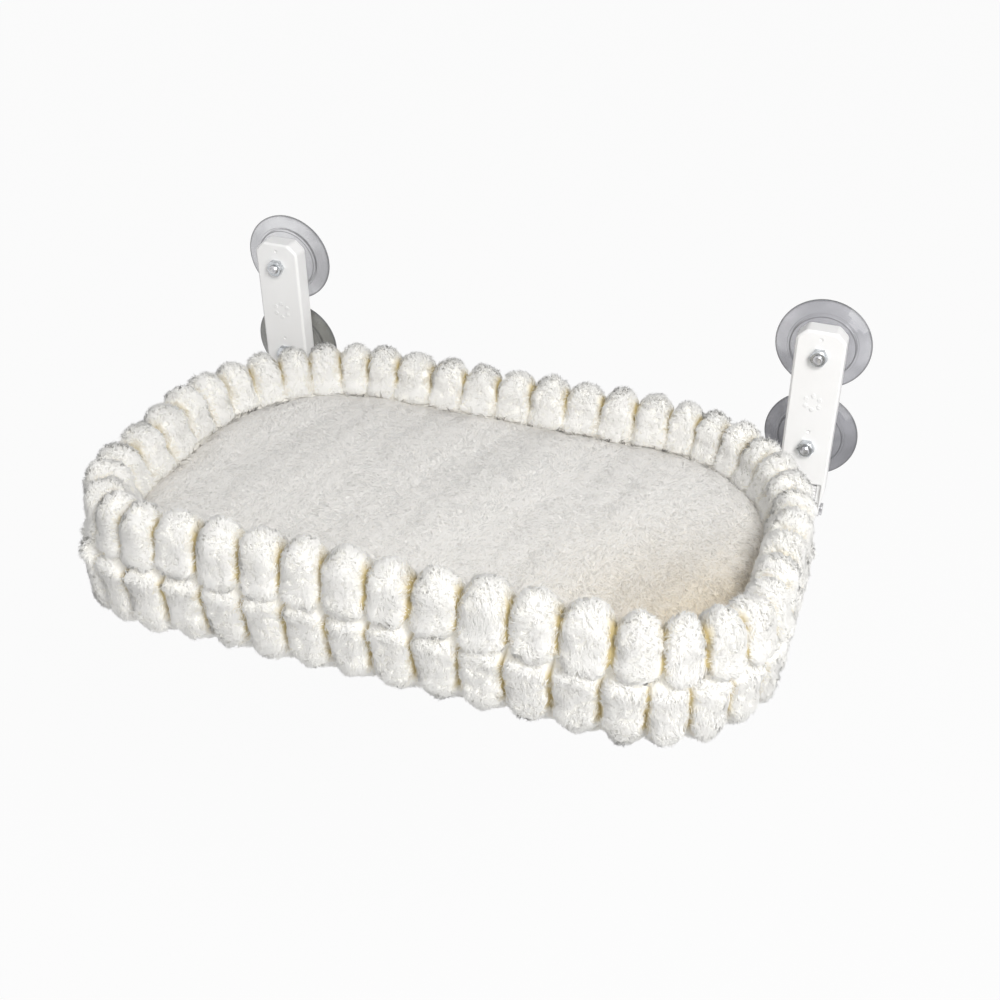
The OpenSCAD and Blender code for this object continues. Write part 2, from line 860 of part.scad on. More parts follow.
module sleeping_mat() {
    k = mat_steps;
    n = len(mat_ring_shares);
    top_z = mat_z + mat_edge_t + mat_crown;
    points = concat(
        [for (m = mat_ring_shares, i = [0 : k - 1])
            let (p = bed_point(outline_l * i / k, base_inset + m[0] * mat_edge_t))
            [p[0] * m[3], bed_mid_y + (p[1] - bed_mid_y) * m[3],
             mat_z + m[1] * mat_edge_t + m[2] * mat_crown]],
        [[0, bed_mid_y, mat_z], [0, bed_mid_y, top_z]]
    );
    faces = concat(
        [for (i = [0 : k - 1]) [i, (i + 1) % k, n * k]],
        [for (i = [0 : k - 1]) [(n - 1) * k + (i + 1) % k, (n - 1) * k + i, n * k + 1]],
        [for (j = [0 : n - 2], i = [0 : k - 1])
            let (
                a = j * k + i,
                b = j * k + (i + 1) % k,
                c = (j + 1) * k + (i + 1) % k,
                d = (j + 1) * k + i
            )
            each [[a, c, b], [a, d, c]]]
    );
    color(fleece)
        polyhedron(points, faces, convexity = 4);
}

module on_bracket(s) {
    translate([s * tube_x, 0, 0])
        children();
}

module on_stud(s, v) {
    translate([s * tube_x, 0, v * stud_z])
        children();
}

on_bracket(-1) bracket();  // left_bracket
on_bracket(1) bracket();  // right_bracket
on_stud(-1, 1) suction_cup();  // left_upper_cup
on_stud(-1, -1) suction_cup();  // left_lower_cup
on_stud(1, 1) suction_cup();  // right_upper_cup
on_stud(1, -1) suction_cup();  // right_lower_cup
on_stud(-1, 1) stud();  // left_upper_stud
on_stud(-1, -1) stud();  // left_lower_stud
on_stud(1, 1) stud();  // right_upper_stud
on_stud(1, -1) stud();  // right_lower_stud
on_stud(-1, 1) nut();  // left_upper_nut
on_stud(-1, -1) nut();  // left_lower_nut
on_stud(1, 1) nut();  // right_upper_nut
on_stud(1, -1) nut();  // right_lower_nut
hinge_pin(-1);  // left_hinge_pin
hinge_pin(1);  // right_hinge_pin
pin_cap(-1);  // left_pin_cap
pin_cap(1);  // right_pin_cap
on_bracket(-1) lock_spring();  // left_lock_spring
on_bracket(1) lock_spring();  // right_lock_spring
on_bracket(-1) lock_slide();  // left_lock_slide
on_bracket(1) lock_slide();  // right_lock_slide
knuckle(-1);  // left_knuckle
knuckle(1);  // right_knuckle
side_tube(-1);  // left_side_tube
side_tube(1);  // right_side_tube
elbow(-1);  // left_elbow
elbow(1);  // right_elbow
front_tube();
rear_bar();
frame_screws();
side_strap(-1, rear_strap_y);  // left_rear_strap
side_strap(-1, front_strap_y);  // left_front_strap
side_strap(1, rear_strap_y);  // right_rear_strap
side_strap(1, front_strap_y);  // right_front_strap
front_strap(-1);  // front_left_strap
front_strap(1);  // front_right_strap
base_cloth();
base_board();
base_cushion();
lower_rib_ring();
upper_rib_ring();
sleeping_mat();
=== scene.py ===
# %% [markdown]
# A window mounted cat perch: a plush bed with a rim of two rows of soft ribs,
# on a white tube frame that folds down from two plastic brackets, which hold
# to the glass with four clear suction cups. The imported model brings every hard
# piece at its true place and size. This script gives those pieces their
# finish and makes the soft pieces, which a solid model can't show.

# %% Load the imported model
import math

import bpy
import numpy as np
from mathutils import Matrix, Vector


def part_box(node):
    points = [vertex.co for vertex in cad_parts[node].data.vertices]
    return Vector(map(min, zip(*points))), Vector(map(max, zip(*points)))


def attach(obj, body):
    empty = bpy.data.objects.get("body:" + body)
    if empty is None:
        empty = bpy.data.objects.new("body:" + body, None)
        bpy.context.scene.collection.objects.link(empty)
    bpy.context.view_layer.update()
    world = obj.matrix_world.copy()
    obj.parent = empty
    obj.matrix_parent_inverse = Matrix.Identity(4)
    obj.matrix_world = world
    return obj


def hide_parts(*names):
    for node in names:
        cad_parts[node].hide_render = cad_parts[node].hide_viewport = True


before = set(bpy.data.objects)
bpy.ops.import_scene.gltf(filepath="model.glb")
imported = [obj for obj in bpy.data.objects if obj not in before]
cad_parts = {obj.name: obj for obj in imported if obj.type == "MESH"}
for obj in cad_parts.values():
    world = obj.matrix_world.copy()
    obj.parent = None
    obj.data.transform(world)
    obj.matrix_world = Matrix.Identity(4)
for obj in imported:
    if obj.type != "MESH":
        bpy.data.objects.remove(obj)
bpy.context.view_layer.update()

# %% [markdown]
# The camera stands in front of the bed, to its right and above it, and looks
# down over the rim. Its direction is given as three angles, and its place in
# metres from the middle of the suction cups. A small lens shift moves the
# picture's middle off the camera's axis, as a photographer's crop does.

# %% Camera
CAMERA_AZIMUTH, CAMERA_ELEVATION, CAMERA_ROLL = 16.58, 33.65, 1.86
CAMERA_PLACE = (0.3316, -0.9759, 0.5300)
CAMERA_LENS = 46.62
CAMERA_SHIFT = (-0.0820, -0.0105)


def add_camera():
    azimuth, elevation, roll = map(math.radians, (CAMERA_AZIMUTH, CAMERA_ELEVATION, CAMERA_ROLL))
    back = Vector((math.sin(azimuth) * math.cos(elevation),
                   -math.cos(azimuth) * math.cos(elevation), math.sin(elevation)))
    level = Vector((math.cos(azimuth), math.sin(azimuth), 0))
    upright = back.cross(level)
    right = level * math.cos(roll) + upright * math.sin(roll)
    up = back.cross(right)
    camera = bpy.data.objects.new("camera", bpy.data.cameras.new("camera"))
    bpy.context.scene.collection.objects.link(camera)
    turn = Matrix((right, up, back)).transposed().to_4x4()
    camera.matrix_world = Matrix.Translation(CAMERA_PLACE) @ turn
    camera.data.lens = CAMERA_LENS
    camera.data.shift_x, camera.data.shift_y = CAMERA_SHIFT
    camera.data.clip_start, camera.data.clip_end = 0.05, 80
    bpy.context.scene.camera = camera


add_camera()
bpy.context.scene.view_settings.view_transform = "Standard"

# %% [markdown]
# White things on white need light that is soft and even. The strongest lamp
# stands high on the right, a low one lights the rim's front from the same side
# and a weak one stands on the left. All three are wide discs, so that their
# shadows stay soft, and they look at the middle of the bed.

# %% Lamps
AIM = Vector((0, -0.17, -0.04))


def add_lamp(name, place, size, watts, colour=(1, 1, 1)):
    data = bpy.data.lights.new(name, "AREA")
    data.shape, data.size, data.energy, data.color = "DISK", size, watts, colour
    lamp = bpy.data.objects.new(name, data)
    bpy.context.scene.collection.objects.link(lamp)
    lamp.location = place
    aim = AIM - Vector(place)
    lamp.rotation_mode = "QUATERNION"
    lamp.rotation_quaternion = aim.to_track_quat("-Z", "Y")


add_lamp("key", (0.90, -1.10, 1.15), 0.7, 22, (1.0, 0.995, 0.985))
add_lamp("fill", (-1.3, -1.2, 0.9), 1.2, 1, (0.98, 0.99, 1.0))
add_lamp("front", (1.1, -1.4, 0.30), 0.9, 4.0, (1.0, 1.0, 1.0))

# %% [markdown]
# What the camera sees of the sky is plain white, while the light that the sky
# throws on the perch stays at a level where pale colours keep their value. A
# mask tells the two apart, and it counts reflections and glass as seen.

# %% Sky
AMBIENT = 0.37


def seen_directly(nodes, links):
    """A mask that is 1 for what the camera sees, also in a reflection or through glass."""
    path = nodes.new("ShaderNodeLightPath")
    first, both = nodes.new("ShaderNodeMath"), nodes.new("ShaderNodeMath")
    first.operation = both.operation = "MAXIMUM"
    links.new(path.outputs["Is Camera Ray"], first.inputs[0])
    links.new(path.outputs["Is Glossy Ray"], first.inputs[1])
    links.new(path.outputs["Is Transmission Ray"], both.inputs[0])
    links.new(first.outputs[0], both.inputs[1])
    return both.outputs[0]


def add_sky():
    world = bpy.data.worlds.new("sky")
    world.use_nodes = True
    bpy.context.scene.world = world
    nodes, links = world.node_tree.nodes, world.node_tree.links
    strength = nodes.new("ShaderNodeMapRange")
    strength.inputs["To Min"].default_value = AMBIENT
    strength.inputs["To Max"].default_value = 1.0
    links.new(seen_directly(nodes, links), strength.inputs["Value"])
    background = nodes["Background"]
    background.inputs["Color"].default_value = (1, 1, 1, 1)
    links.new(strength.outputs[0], background.inputs["Strength"])


add_sky()

# %% [markdown]
# A wide floor lies far below, so that light also comes from under the bed. To
# the camera it glows, nearly as white as the sky.

# %% Floor
FLOOR_Z = -0.95
FLOOR_HALF = 18.0
FLOOR_GLOW = 0.94
FLOOR_CORNERS = ((-1, -1), (1, -1), (1, 1), (-1, 1))


def add_floor():
    mesh = bpy.data.meshes.new("floor")
    corners = [(FLOOR_HALF * x, FLOOR_HALF * y, FLOOR_Z) for x, y in FLOOR_CORNERS]
    mesh.from_pydata(corners, [], [(0, 1, 2, 3)])
    floor = bpy.data.objects.new("floor", mesh)
    bpy.context.scene.collection.objects.link(floor)
    finish = bpy.data.materials.new("pale_floor")
    finish.use_nodes = True
    nodes, links = finish.node_tree.nodes, finish.node_tree.links
    shader = nodes["Principled BSDF"]
    shader.inputs["Base Color"].default_value = (0.86, 0.86, 0.86, 1)
    shader.inputs["Roughness"].default_value = 0.9
    glow = nodes.new("ShaderNodeEmission")
    share = nodes.new("ShaderNodeMath")
    share.operation = "MULTIPLY"
    share.inputs[1].default_value = FLOOR_GLOW
    mix = nodes.new("ShaderNodeMixShader")
    links.new(seen_directly(nodes, links), share.inputs[0])
    links.new(share.outputs[0], mix.inputs["Fac"])
    links.new(shader.outputs[0], mix.inputs[1])
    links.new(glow.outputs[0], mix.inputs[2])
    links.new(mix.outputs[0], nodes["Material Output"].inputs["Surface"])
    mesh.materials.append(finish)


add_floor()

# %% [markdown]
# Every mesh below is made from arrays of points, because a rib, a strand or a
# stitch follows a rule that is shorter to write than to model by hand. These
# helpers turn arrays into objects.

# %% Helpers for meshes
def mesh_of(name, points, *face_groups):
    """A mesh from an array of points and arrays of faces. The faces of one array have as many corners."""
    mesh = bpy.data.meshes.new(name)
    points = np.asarray(points, np.float32).reshape(-1, 3)
    groups = [np.asarray(faces, np.int32) for faces in face_groups if len(faces)]
    corners = np.concatenate([np.full(len(faces), faces.shape[1]) for faces in groups])
    starts = np.r_[0, np.cumsum(corners)[:-1]].astype(np.int32)
    mesh.vertices.add(len(points))
    mesh.vertices.foreach_set("co", points.ravel())
    mesh.loops.add(int(corners.sum()))
    mesh.loops.foreach_set("vertex_index", np.concatenate([faces.ravel() for faces in groups]))
    mesh.polygons.add(len(corners))
    mesh.polygons.foreach_set("loop_start", starts)
    mesh.update(calc_edges=True)
    mesh.shade_smooth()
    return mesh


def piece_of(mesh, body, finish, replaces=()):
    """An object that rides on a body, with its finish, in place of the imported parts that it replaces."""
    piece = bpy.data.objects.new(mesh.name, mesh)
    bpy.context.scene.collection.objects.link(piece)
    if not mesh.materials:
        mesh.materials.append(finish)
    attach(piece, body)
    if replaces:
        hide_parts(*replaces)
    return piece


def ride_along(piece, carrier):
    """Ties a piece of the same body to the one that it is sewn to."""
    piece.parent = carrier
    piece.matrix_parent_inverse = Matrix.Identity(4)


def unit(v):
    return v / np.maximum(np.linalg.norm(v, axis=-1, keepdims=True), 1e-9)


def grid_faces(rows, columns, close_rows=True, close_columns=True):
    """The quads of a grid of points, closed round on itself where asked."""
    i = np.arange(rows if close_rows else rows - 1)[:, None]
    j = np.arange(columns if close_columns else columns - 1)[None, :]
    a, b = i * columns + j, i * columns + (j + 1) % columns
    c, d = (i + 1) % rows * columns + (j + 1) % columns, (i + 1) % rows * columns + j
    return np.stack(np.broadcast_arrays(a, b, c, d), -1).reshape(-1, 4)


def capped_tube(rings):
    """Points, quads and end triangles of a tube through rings, each an array of as many points."""
    rings = np.asarray(rings, float)
    count, sides = rings.shape[:2]
    ends = np.stack([rings[0].mean(0), rings[-1].mean(0)])
    points = np.vstack([rings.reshape(-1, 3), ends])
    i = np.arange(sides)
    j = (i + 1) % sides
    first = np.stack([np.full(sides, count * sides), j, i], -1)
    last_ring = (count - 1) * sides
    last = np.stack([np.full(sides, count * sides + 1), last_ring + i, last_ring + j], -1)
    return points, grid_faces(count, sides, close_rows=False), np.vstack([first, last])


def read_points(mesh, what="co"):
    values = np.zeros(len(mesh.vertices) * 3, np.float32)
    mesh.vertices.foreach_get(what, values)
    return values.reshape(-1, 3).astype(float)


# %% [markdown]
# A finish is built from a few effects that several of them share. Each effect
# is a node group, which is made once and placed in each material with that
# material's own values. These helpers place the few nodes that all of them use.

# %% Helpers for node groups
def new_group(name, inputs, outputs):
    tree = bpy.data.node_groups.new(name, "ShaderNodeTree")
    for label, kind, value in inputs:
        socket = tree.interface.new_socket(label, in_out="INPUT", socket_type="NodeSocket" + kind)
        if value is not None:
            socket.default_value = value
    for label, kind in outputs:
        tree.interface.new_socket(label, in_out="OUTPUT", socket_type="NodeSocket" + kind)
    return tree, tree.nodes.new("NodeGroupInput").outputs, tree.nodes.new("NodeGroupOutput").inputs


def add_math(tree, operation, a, b=0.0):
    """A Math node, whose inputs are outputs of other nodes or plain numbers."""
    node = tree.nodes.new("ShaderNodeMath")
    node.operation = operation
    for socket, value in zip(node.inputs, (a, b)):
        if isinstance(value, (int, float)):
            socket.default_value = value
        else:
            tree.links.new(value, socket)
    return node.outputs[0]


def add_noise(tree, vector, scale, detail=3.0):
    noise = tree.nodes.new("ShaderNodeTexNoise")
    noise.inputs["Detail"].default_value = detail
    tree.links.new(vector, noise.inputs["Vector"])
    tree.links.new(scale, noise.inputs["Scale"])
    return noise.outputs["Fac"]


def add_spread(tree, value, low, high):
    """Stretches the part of a value between low and high to run from 0 to 1."""
    node = tree.nodes.new("ShaderNodeMapRange")
    node.inputs["From Min"].default_value, node.inputs["From Max"].default_value = low, high
    tree.links.new(value, node.inputs["Value"])
    return node


def add_mix(tree, factor, a, b):
    """Colour a where the factor is 0 and b where it is 1. Either is a colour or an output."""
    node = tree.nodes.new("ShaderNodeMix")
    node.data_type = "RGBA"
    tree.links.new(factor, node.inputs["Factor"])
    for label, value in (("A", a), ("B", b)):
        if isinstance(value, tuple):
            node.inputs[label].default_value = value
        else:
            tree.links.new(value, node.inputs[label])
    return node.outputs["Result"]


# %% [markdown]
# No real surface has one flat colour. Cloth and plastic vary in soft clouds,
# and a moulded or sprayed surface has a faint grain, which shows as a slight
# unevenness of height and of gloss.

# %% Cloudy tone and fine grain
def make_cloudy_tone():
    """Two colours mixed in soft clouds."""
    tree, given, out = new_group(
        "cloudy_tone",
        [("Vector", "Vector", None), ("Scale", "Float", 30.0),
         ("Light", "Color", None), ("Dark", "Color", None)],
        [("Color", "Color"), ("Mask", "Float")])
    cloud = add_noise(tree, given["Vector"], given["Scale"], 4.0)
    mask = add_spread(tree, cloud, 0.35, 0.65).outputs[0]
    tree.links.new(add_mix(tree, mask, given["Dark"], given["Light"]), out["Color"])
    tree.links.new(mask, out["Mask"])
    return tree


def make_fine_grain():
    """The slight unevenness of a moulded or sprayed surface, as a height and a roughness."""
    tree, given, out = new_group(
        "fine_grain",
        [("Vector", "Vector", None), ("Scale", "Float", 900.0),
         ("Smooth", "Float", 0.3), ("Rough", "Float", 0.45)],
        [("Height", "Float"), ("Roughness", "Float")])
    fine = add_noise(tree, given["Vector"], given["Scale"], 2.0)
    wide = add_noise(tree, given["Vector"], add_math(tree, "DIVIDE", given["Scale"], 14.0))
    tree.links.new(add_math(tree, "ADD", fine, wide), out["Height"])
    spread = add_spread(tree, wide, 0.35, 0.65)
    tree.links.new(given["Smooth"], spread.inputs["To Min"])
    tree.links.new(given["Rough"], spread.inputs["To Max"])
    tree.links.new(spread.outputs[0], out["Roughness"])
    return tree


CLOUDY_TONE = make_cloudy_tone()
FINE_GRAIN = make_fine_grain()

# %% [markdown]
# Plain cloth is threads that pass over and under each other. Two sine waves
# give that: where their product is positive one thread is on top, and where it
# is negative the other. What neither covers is the gap, which is darker.

# %% Weave
def make_weave():
    """Threads that pass over and under each other. Step is the distance between threads."""
    tree, given, out = new_group(
        "weave", [("Vector", "Vector", None), ("Step", "Float", 0.001)],
        [("Height", "Float"), ("Gap", "Float")])
    axes = tree.nodes.new("ShaderNodeSeparateXYZ")
    tree.links.new(given["Vector"], axes.inputs[0])
    turns = add_math(tree, "DIVIDE", math.pi, given["Step"])
    x = add_math(tree, "SINE", add_math(tree, "MULTIPLY", axes.outputs["X"], turns))
    y = add_math(tree, "SINE", add_math(tree, "MULTIPLY", axes.outputs["Y"], turns))
    over = add_math(tree, "MULTIPLY", x, y)
    upper = add_math(tree, "MULTIPLY", add_math(tree, "ABSOLUTE", x), add_math(tree, "ADD", over, 1.0))
    lower = add_math(tree, "MULTIPLY", add_math(tree, "ABSOLUTE", y), add_math(tree, "SUBTRACT", 1.0, over))
    height = add_math(tree, "MAXIMUM", upper, lower)
    tree.links.new(height, out["Height"])
    tree.links.new(add_math(tree, "SUBTRACT", 1.0, add_math(tree, "MINIMUM", height, 1.0)), out["Gap"])
    return tree


WEAVE = make_weave()

# %% [markdown]
# A real edge is never perfectly sharp, and it wears first. The bevel rounds
# edges in the shading, and where it turns the surface most there is an edge.
# The second effect is a thin circle, as a cup has where its dome starts.

# %% Soft edge and ring line
def make_soft_edge():
    """Rounds sharp edges in the shading and gives a mask of them, for wear."""
    tree, given, out = new_group(
        "soft_edge", [("Radius", "Float", 0.0006)], [("Normal", "Vector"), ("Edge", "Float")])
    bevel = tree.nodes.new("ShaderNodeBevel")
    bevel.samples = 6
    tree.links.new(given["Radius"], bevel.inputs["Radius"])
    geometry = tree.nodes.new("ShaderNodeNewGeometry")
    dot = tree.nodes.new("ShaderNodeVectorMath")
    dot.operation = "DOT_PRODUCT"
    tree.links.new(bevel.outputs[0], dot.inputs[0])
    tree.links.new(geometry.outputs["Normal"], dot.inputs[1])
    away = add_math(tree, "MULTIPLY", add_math(tree, "SUBTRACT", 1.0, dot.outputs["Value"]), 4.0)
    tree.links.new(add_math(tree, "MINIMUM", away, 1.0), out["Edge"])
    tree.links.new(bevel.outputs[0], out["Normal"])
    return tree


def make_ring_line():
    """A mask of a thin circle round the origin."""
    tree, given, out = new_group(
        "ring_line", [("Vector", "Vector", None), ("Radius", "Float", 0.03), ("Width", "Float", 0.001)],
        [("Mask", "Float")])
    reach = tree.nodes.new("ShaderNodeVectorMath")
    reach.operation = "LENGTH"
    tree.links.new(given["Vector"], reach.inputs[0])
    off = add_math(tree, "ABSOLUTE", add_math(tree, "SUBTRACT", reach.outputs["Value"], given["Radius"]))
    near = add_math(tree, "SUBTRACT", 1.0, add_math(tree, "DIVIDE", off, given["Width"]))
    tree.links.new(add_math(tree, "MAXIMUM", near, 0.0), out["Mask"])
    return tree


SOFT_EDGE = make_soft_edge()
RING_LINE = make_ring_line()

# %% [markdown]
# A fibre is painted whitest at its tip, as a painted highlight for the light that passes through it, and
# painted darkest at its root in a groove, as painted shade. The effect reads both from a place in a plane:
# across is how deep the root lies, and up is the way along the fibre.

# %% Fibre tone
def make_fibre_tone():
    """The colour along a fibre: painted shade deep in a groove, the body of the cloth, and a painted
    highlight at the fibre's tip.
    """
    tree, given, out = new_group(
        "fibre_tone",
        [("Vector", "Vector", None), ("Tip", "Color", None),
         ("Body", "Color", None), ("Deep", "Color", None)],
        [("Color", "Color")])
    axes = tree.nodes.new("ShaderNodeSeparateXYZ")
    tree.links.new(given["Vector"], axes.inputs[0])
    depth = add_spread(tree, axes.outputs["X"], 0.30, 1.0).outputs[0]
    open_share = add_math(tree, "SUBTRACT", 1.0, axes.outputs["X"])
    tip_share = add_math(tree, "MULTIPLY", axes.outputs["Y"], open_share)
    # Painted shade towards a root deep in a groove, and a painted highlight towards the tip
    base = add_mix(tree, depth, given["Body"], given["Deep"])
    tree.links.new(add_mix(tree, tip_share, base, given["Tip"]), out["Color"])
    return tree


FIBRE_TONE = make_fibre_tone()
print("effects:", len(bpy.data.node_groups))

# %% [markdown]
# A finish is a material with one shader. The class keeps the steps that every
# finish repeats: placing an effect, feeding it to a socket, mixing two colours
# and turning a height into a bump.

# %% Finishes
class Finish:
    """A material with one Principled shader, to which effects are added one by one."""

    def __init__(self, name, **constants):
        self.material = bpy.data.materials.new(name)
        self.material.use_nodes = True
        self.tree = self.material.node_tree
        self.nodes, self.links = self.tree.nodes, self.tree.links
        self.shader = self.nodes["Principled BSDF"]
        self.place = self.nodes.new("ShaderNodeTexCoord").outputs["Object"]
        for label, value in constants.items():
            self.shader.inputs[label.replace("_", " ")].default_value = value

    def effect(self, group, **values):
        node = self.nodes.new("ShaderNodeGroup")
        node.node_tree = group
        if "Vector" in node.inputs:
            self.links.new(values.pop("Vector", self.place), node.inputs["Vector"])
        for label, value in values.items():
            node.inputs[label].default_value = value
        return node.outputs

    def feed(self, output, label):
        self.links.new(output, self.shader.inputs[label])

    def mixed(self, factor, a, b):
        return add_mix(self.tree, factor, a, b)

    def bump(self, height, distance, normal=None):
        node = self.nodes.new("ShaderNodeBump")
        node.inputs["Distance"].default_value = distance
        self.links.new(height, node.inputs["Height"])
        if normal is not None:
            self.links.new(normal, node.inputs["Normal"])
        self.links.new(node.outputs[0], self.shader.inputs["Normal"])


def grey(level, warm=0.0):
    """A near-white colour with a little warmth."""
    return (level, level * (1 - 0.4 * warm), level * (1 - warm), 1)


# %% [markdown]
# The brackets, their lock slides and the frame's coat are white, but not the
# same white: moulded plastic has a satin skin with a faint grain, while the
# sprayed coat of a steel tube has the wide ripple called orange peel. Both
# are a touch greyer along their edges, where hands and tools wear them.

# %% Finishes of the white pieces
def hard_finish(name, light, dark, worn, clouds, edge, grain, smooth, rough, height, **constants):
    """Clouds of two tones, a third tone along the edges, and a grain in height and gloss."""
    finish = Finish(name, **constants)
    tone = finish.effect(CLOUDY_TONE, Scale=clouds, Light=light, Dark=dark)
    edges = finish.effect(SOFT_EDGE, Radius=edge)
    fine = finish.effect(FINE_GRAIN, Scale=grain, Smooth=smooth, Rough=rough)
    finish.feed(finish.mixed(edges["Edge"], tone["Color"], worn), "Base Color")
    finish.feed(fine["Roughness"], "Roughness")
    finish.bump(fine["Height"], height, edges["Normal"])
    return finish.material


MOULDED = dict(clouds=24.0, edge=0.0006, grain=1400.0, smooth=0.32, rough=0.44, height=0.00005, IOR=1.49)
SPRAYED = dict(clouds=18.0, edge=0.0004, grain=520.0, smooth=0.26, rough=0.40, height=0.00012, IOR=1.5)
PLASTIC = hard_finish("satin_plastic", grey(0.96, 0.005), grey(0.93, 0.01), grey(0.84), **MOULDED)
SLIDE_PLASTIC = hard_finish("slide_plastic", grey(0.88, 0.005), grey(0.85, 0.01), grey(0.76), **MOULDED)
COAT = hard_finish("sprayed_coat", grey(0.86, 0.01), grey(0.82, 0.02), grey(0.72, 0.02), **SPRAYED)

# %% [markdown]
# Nuts, screws and pin caps are zinc plated, which is bright with a cloudy
# tone. Pins, springs and studs are plain steel, which is duller. Both have a
# grain that is finer than that of plastic, and a darker tone along their edges.

# %% Finishes of the metal pieces
METAL = dict(worn=grey(0.45, 0.02), clouds=260.0, edge=0.0003, grain=2600.0, height=0.00003, Metallic=1.0)
ZINC = hard_finish("plated_zinc", (0.66, 0.68, 0.70, 1), (0.42, 0.44, 0.46, 1),
                   smooth=0.16, rough=0.32, **METAL)
STEEL = hard_finish("plain_steel", (0.70, 0.70, 0.71, 1), (0.46, 0.46, 0.48, 1),
                    smooth=0.20, rough=0.38, **METAL)

# %% [markdown]
# The cups are soft clear vinyl. It isn't as clear as glass: it is faintly grey, and the more of it light has
# to cross, the greyer it looks. Each cup has its own painted shade for how light falls where it hangs,
# darkest on the lower cups, and the dark lines along its rim and where its dome starts are painted shade
# too. Part of the light is scattered by the vinyl, which is the shader's own colour beside its transmission.

# %% Finish of the suction cups
def clear_vinyl(node, light, dark, clear_share):
    """The vinyl of one cup, with painted dark lines of shade along its rim and where its dome starts."""
    finish = Finish(f"{node}_vinyl", Roughness=0.06, IOR=1.5, Transmission_Weight=clear_share,
                    Coat_Weight=0.5, Coat_Roughness=0.03)
    low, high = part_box(node)
    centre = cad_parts[node].matrix_world.inverted() @ ((low + high) / 2)
    # The cup's axis goes to the origin, and depth along it is left out
    axis = finish.nodes.new("ShaderNodeMapping")
    axis.inputs["Location"].default_value = (-centre.x, 0, -centre.z)
    axis.inputs["Scale"].default_value = (1, 0, 1)
    finish.links.new(finish.place, axis.inputs["Vector"])
    radius = (high.x - low.x) / 2
    dome = finish.effect(RING_LINE, Vector=axis.outputs[0], Radius=0.68 * radius, Width=0.0007)
    rim = finish.effect(RING_LINE, Vector=axis.outputs[0], Radius=0.995 * radius, Width=0.0016)
    tone = finish.effect(CLOUDY_TONE, Scale=22.0, Light=light, Dark=dark)
    # Painted shade: near-black lines where the dome starts and along the rim
    inner = finish.mixed(dome["Mask"], tone["Color"], (0.05, 0.05, 0.055, 1))
    finish.feed(finish.mixed(rim["Mask"], inner, (0.16, 0.16, 0.17, 1)), "Base Color")
    finish.bump(finish.effect(FINE_GRAIN, Scale=240.0, Smooth=0.05, Rough=0.10)["Height"], 0.00008)
    return finish.material


# Each cup's tones and clear share are painted shade for how light falls on it, darkest on the lower cups
CUP_PAINTED_SHADES = {
    "left_upper": ((0.78, 0.78, 0.80, 1), (0.50, 0.50, 0.52, 1), 0.80),
    "right_upper": ((0.66, 0.66, 0.69, 1), (0.42, 0.42, 0.45, 1), 0.80),
    "left_lower": ((0.30, 0.30, 0.28, 1), (0.17, 0.17, 0.16, 1), 0.70),
    "right_lower": ((0.40, 0.40, 0.43, 1), (0.22, 0.22, 0.24, 1), 0.70)}

# %% [markdown]
# The board under the cushion is thin plywood. Stretched clouds look like its
# grain, and its edge shows the plies because the clouds are squeezed upwards.

# %% Finish of the board
def layered_board():
    finish = Finish("board_wood")
    stretch = finish.nodes.new("ShaderNodeMapping")
    stretch.inputs["Scale"].default_value = (1.0, 14.0, 60.0)
    finish.links.new(finish.place, stretch.inputs["Vector"])
    tone = finish.effect(CLOUDY_TONE, Vector=stretch.outputs[0], Scale=9.0,
                         Light=(0.62, 0.44, 0.27, 1), Dark=(0.42, 0.27, 0.15, 1))
    finish.feed(tone["Color"], "Base Color")
    finish.feed(finish.effect(FINE_GRAIN, Scale=700.0, Smooth=0.55, Rough=0.75)["Roughness"], "Roughness")
    finish.bump(tone["Mask"], 0.0002)
    return finish.material


BOARD = layered_board()

# %% [markdown]
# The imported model's own objects keep their shape, so each only gets its
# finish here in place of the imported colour.

# %% Dress the hard pieces
SIDES, LEVELS = ("left", "right"), ("upper", "lower")


def dress(finish, *nodes):
    for name in nodes:
        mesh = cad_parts[name].data
        mesh.materials.clear()
        mesh.materials.append(finish)


for side in SIDES:
    dress(PLASTIC, f"{side}_bracket")
    dress(SLIDE_PLASTIC, f"{side}_lock_slide")
    dress(COAT, f"{side}_knuckle", f"{side}_side_tube", f"{side}_elbow")
    dress(STEEL, f"{side}_hinge_pin", f"{side}_lock_spring")
    dress(ZINC, f"{side}_pin_cap")
    for level in LEVELS:
        light, dark, clear_share = CUP_PAINTED_SHADES[f"{side}_{level}"]
        dress(clear_vinyl(f"{side}_{level}_cup", light, dark, clear_share), f"{side}_{level}_cup")
        dress(ZINC, f"{side}_{level}_nut")
dress(COAT, "front_tube", "rear_bar")
dress(ZINC, "frame_screws")
dress(BOARD, "base_board")

# %% [markdown]
# Each cup holds a stud with an 8 mm thread. The solid model has it as a plain
# rod, and only its last millimetres show in front of the nut, but a thread is
# what makes it a stud. The surface is a rod whose radius follows the thread:
# the phase goes round with the angle and along with the pitch.

# %% Threaded studs
THREAD_PITCH, THREAD_DEPTH = 0.00125, 0.00068
SHANK_R, TIP_CHAMFER = 0.004, 0.0011
HEAD_T, HEAD_ROUND = 0.0020, 0.0004
STUD_SIDES = 28


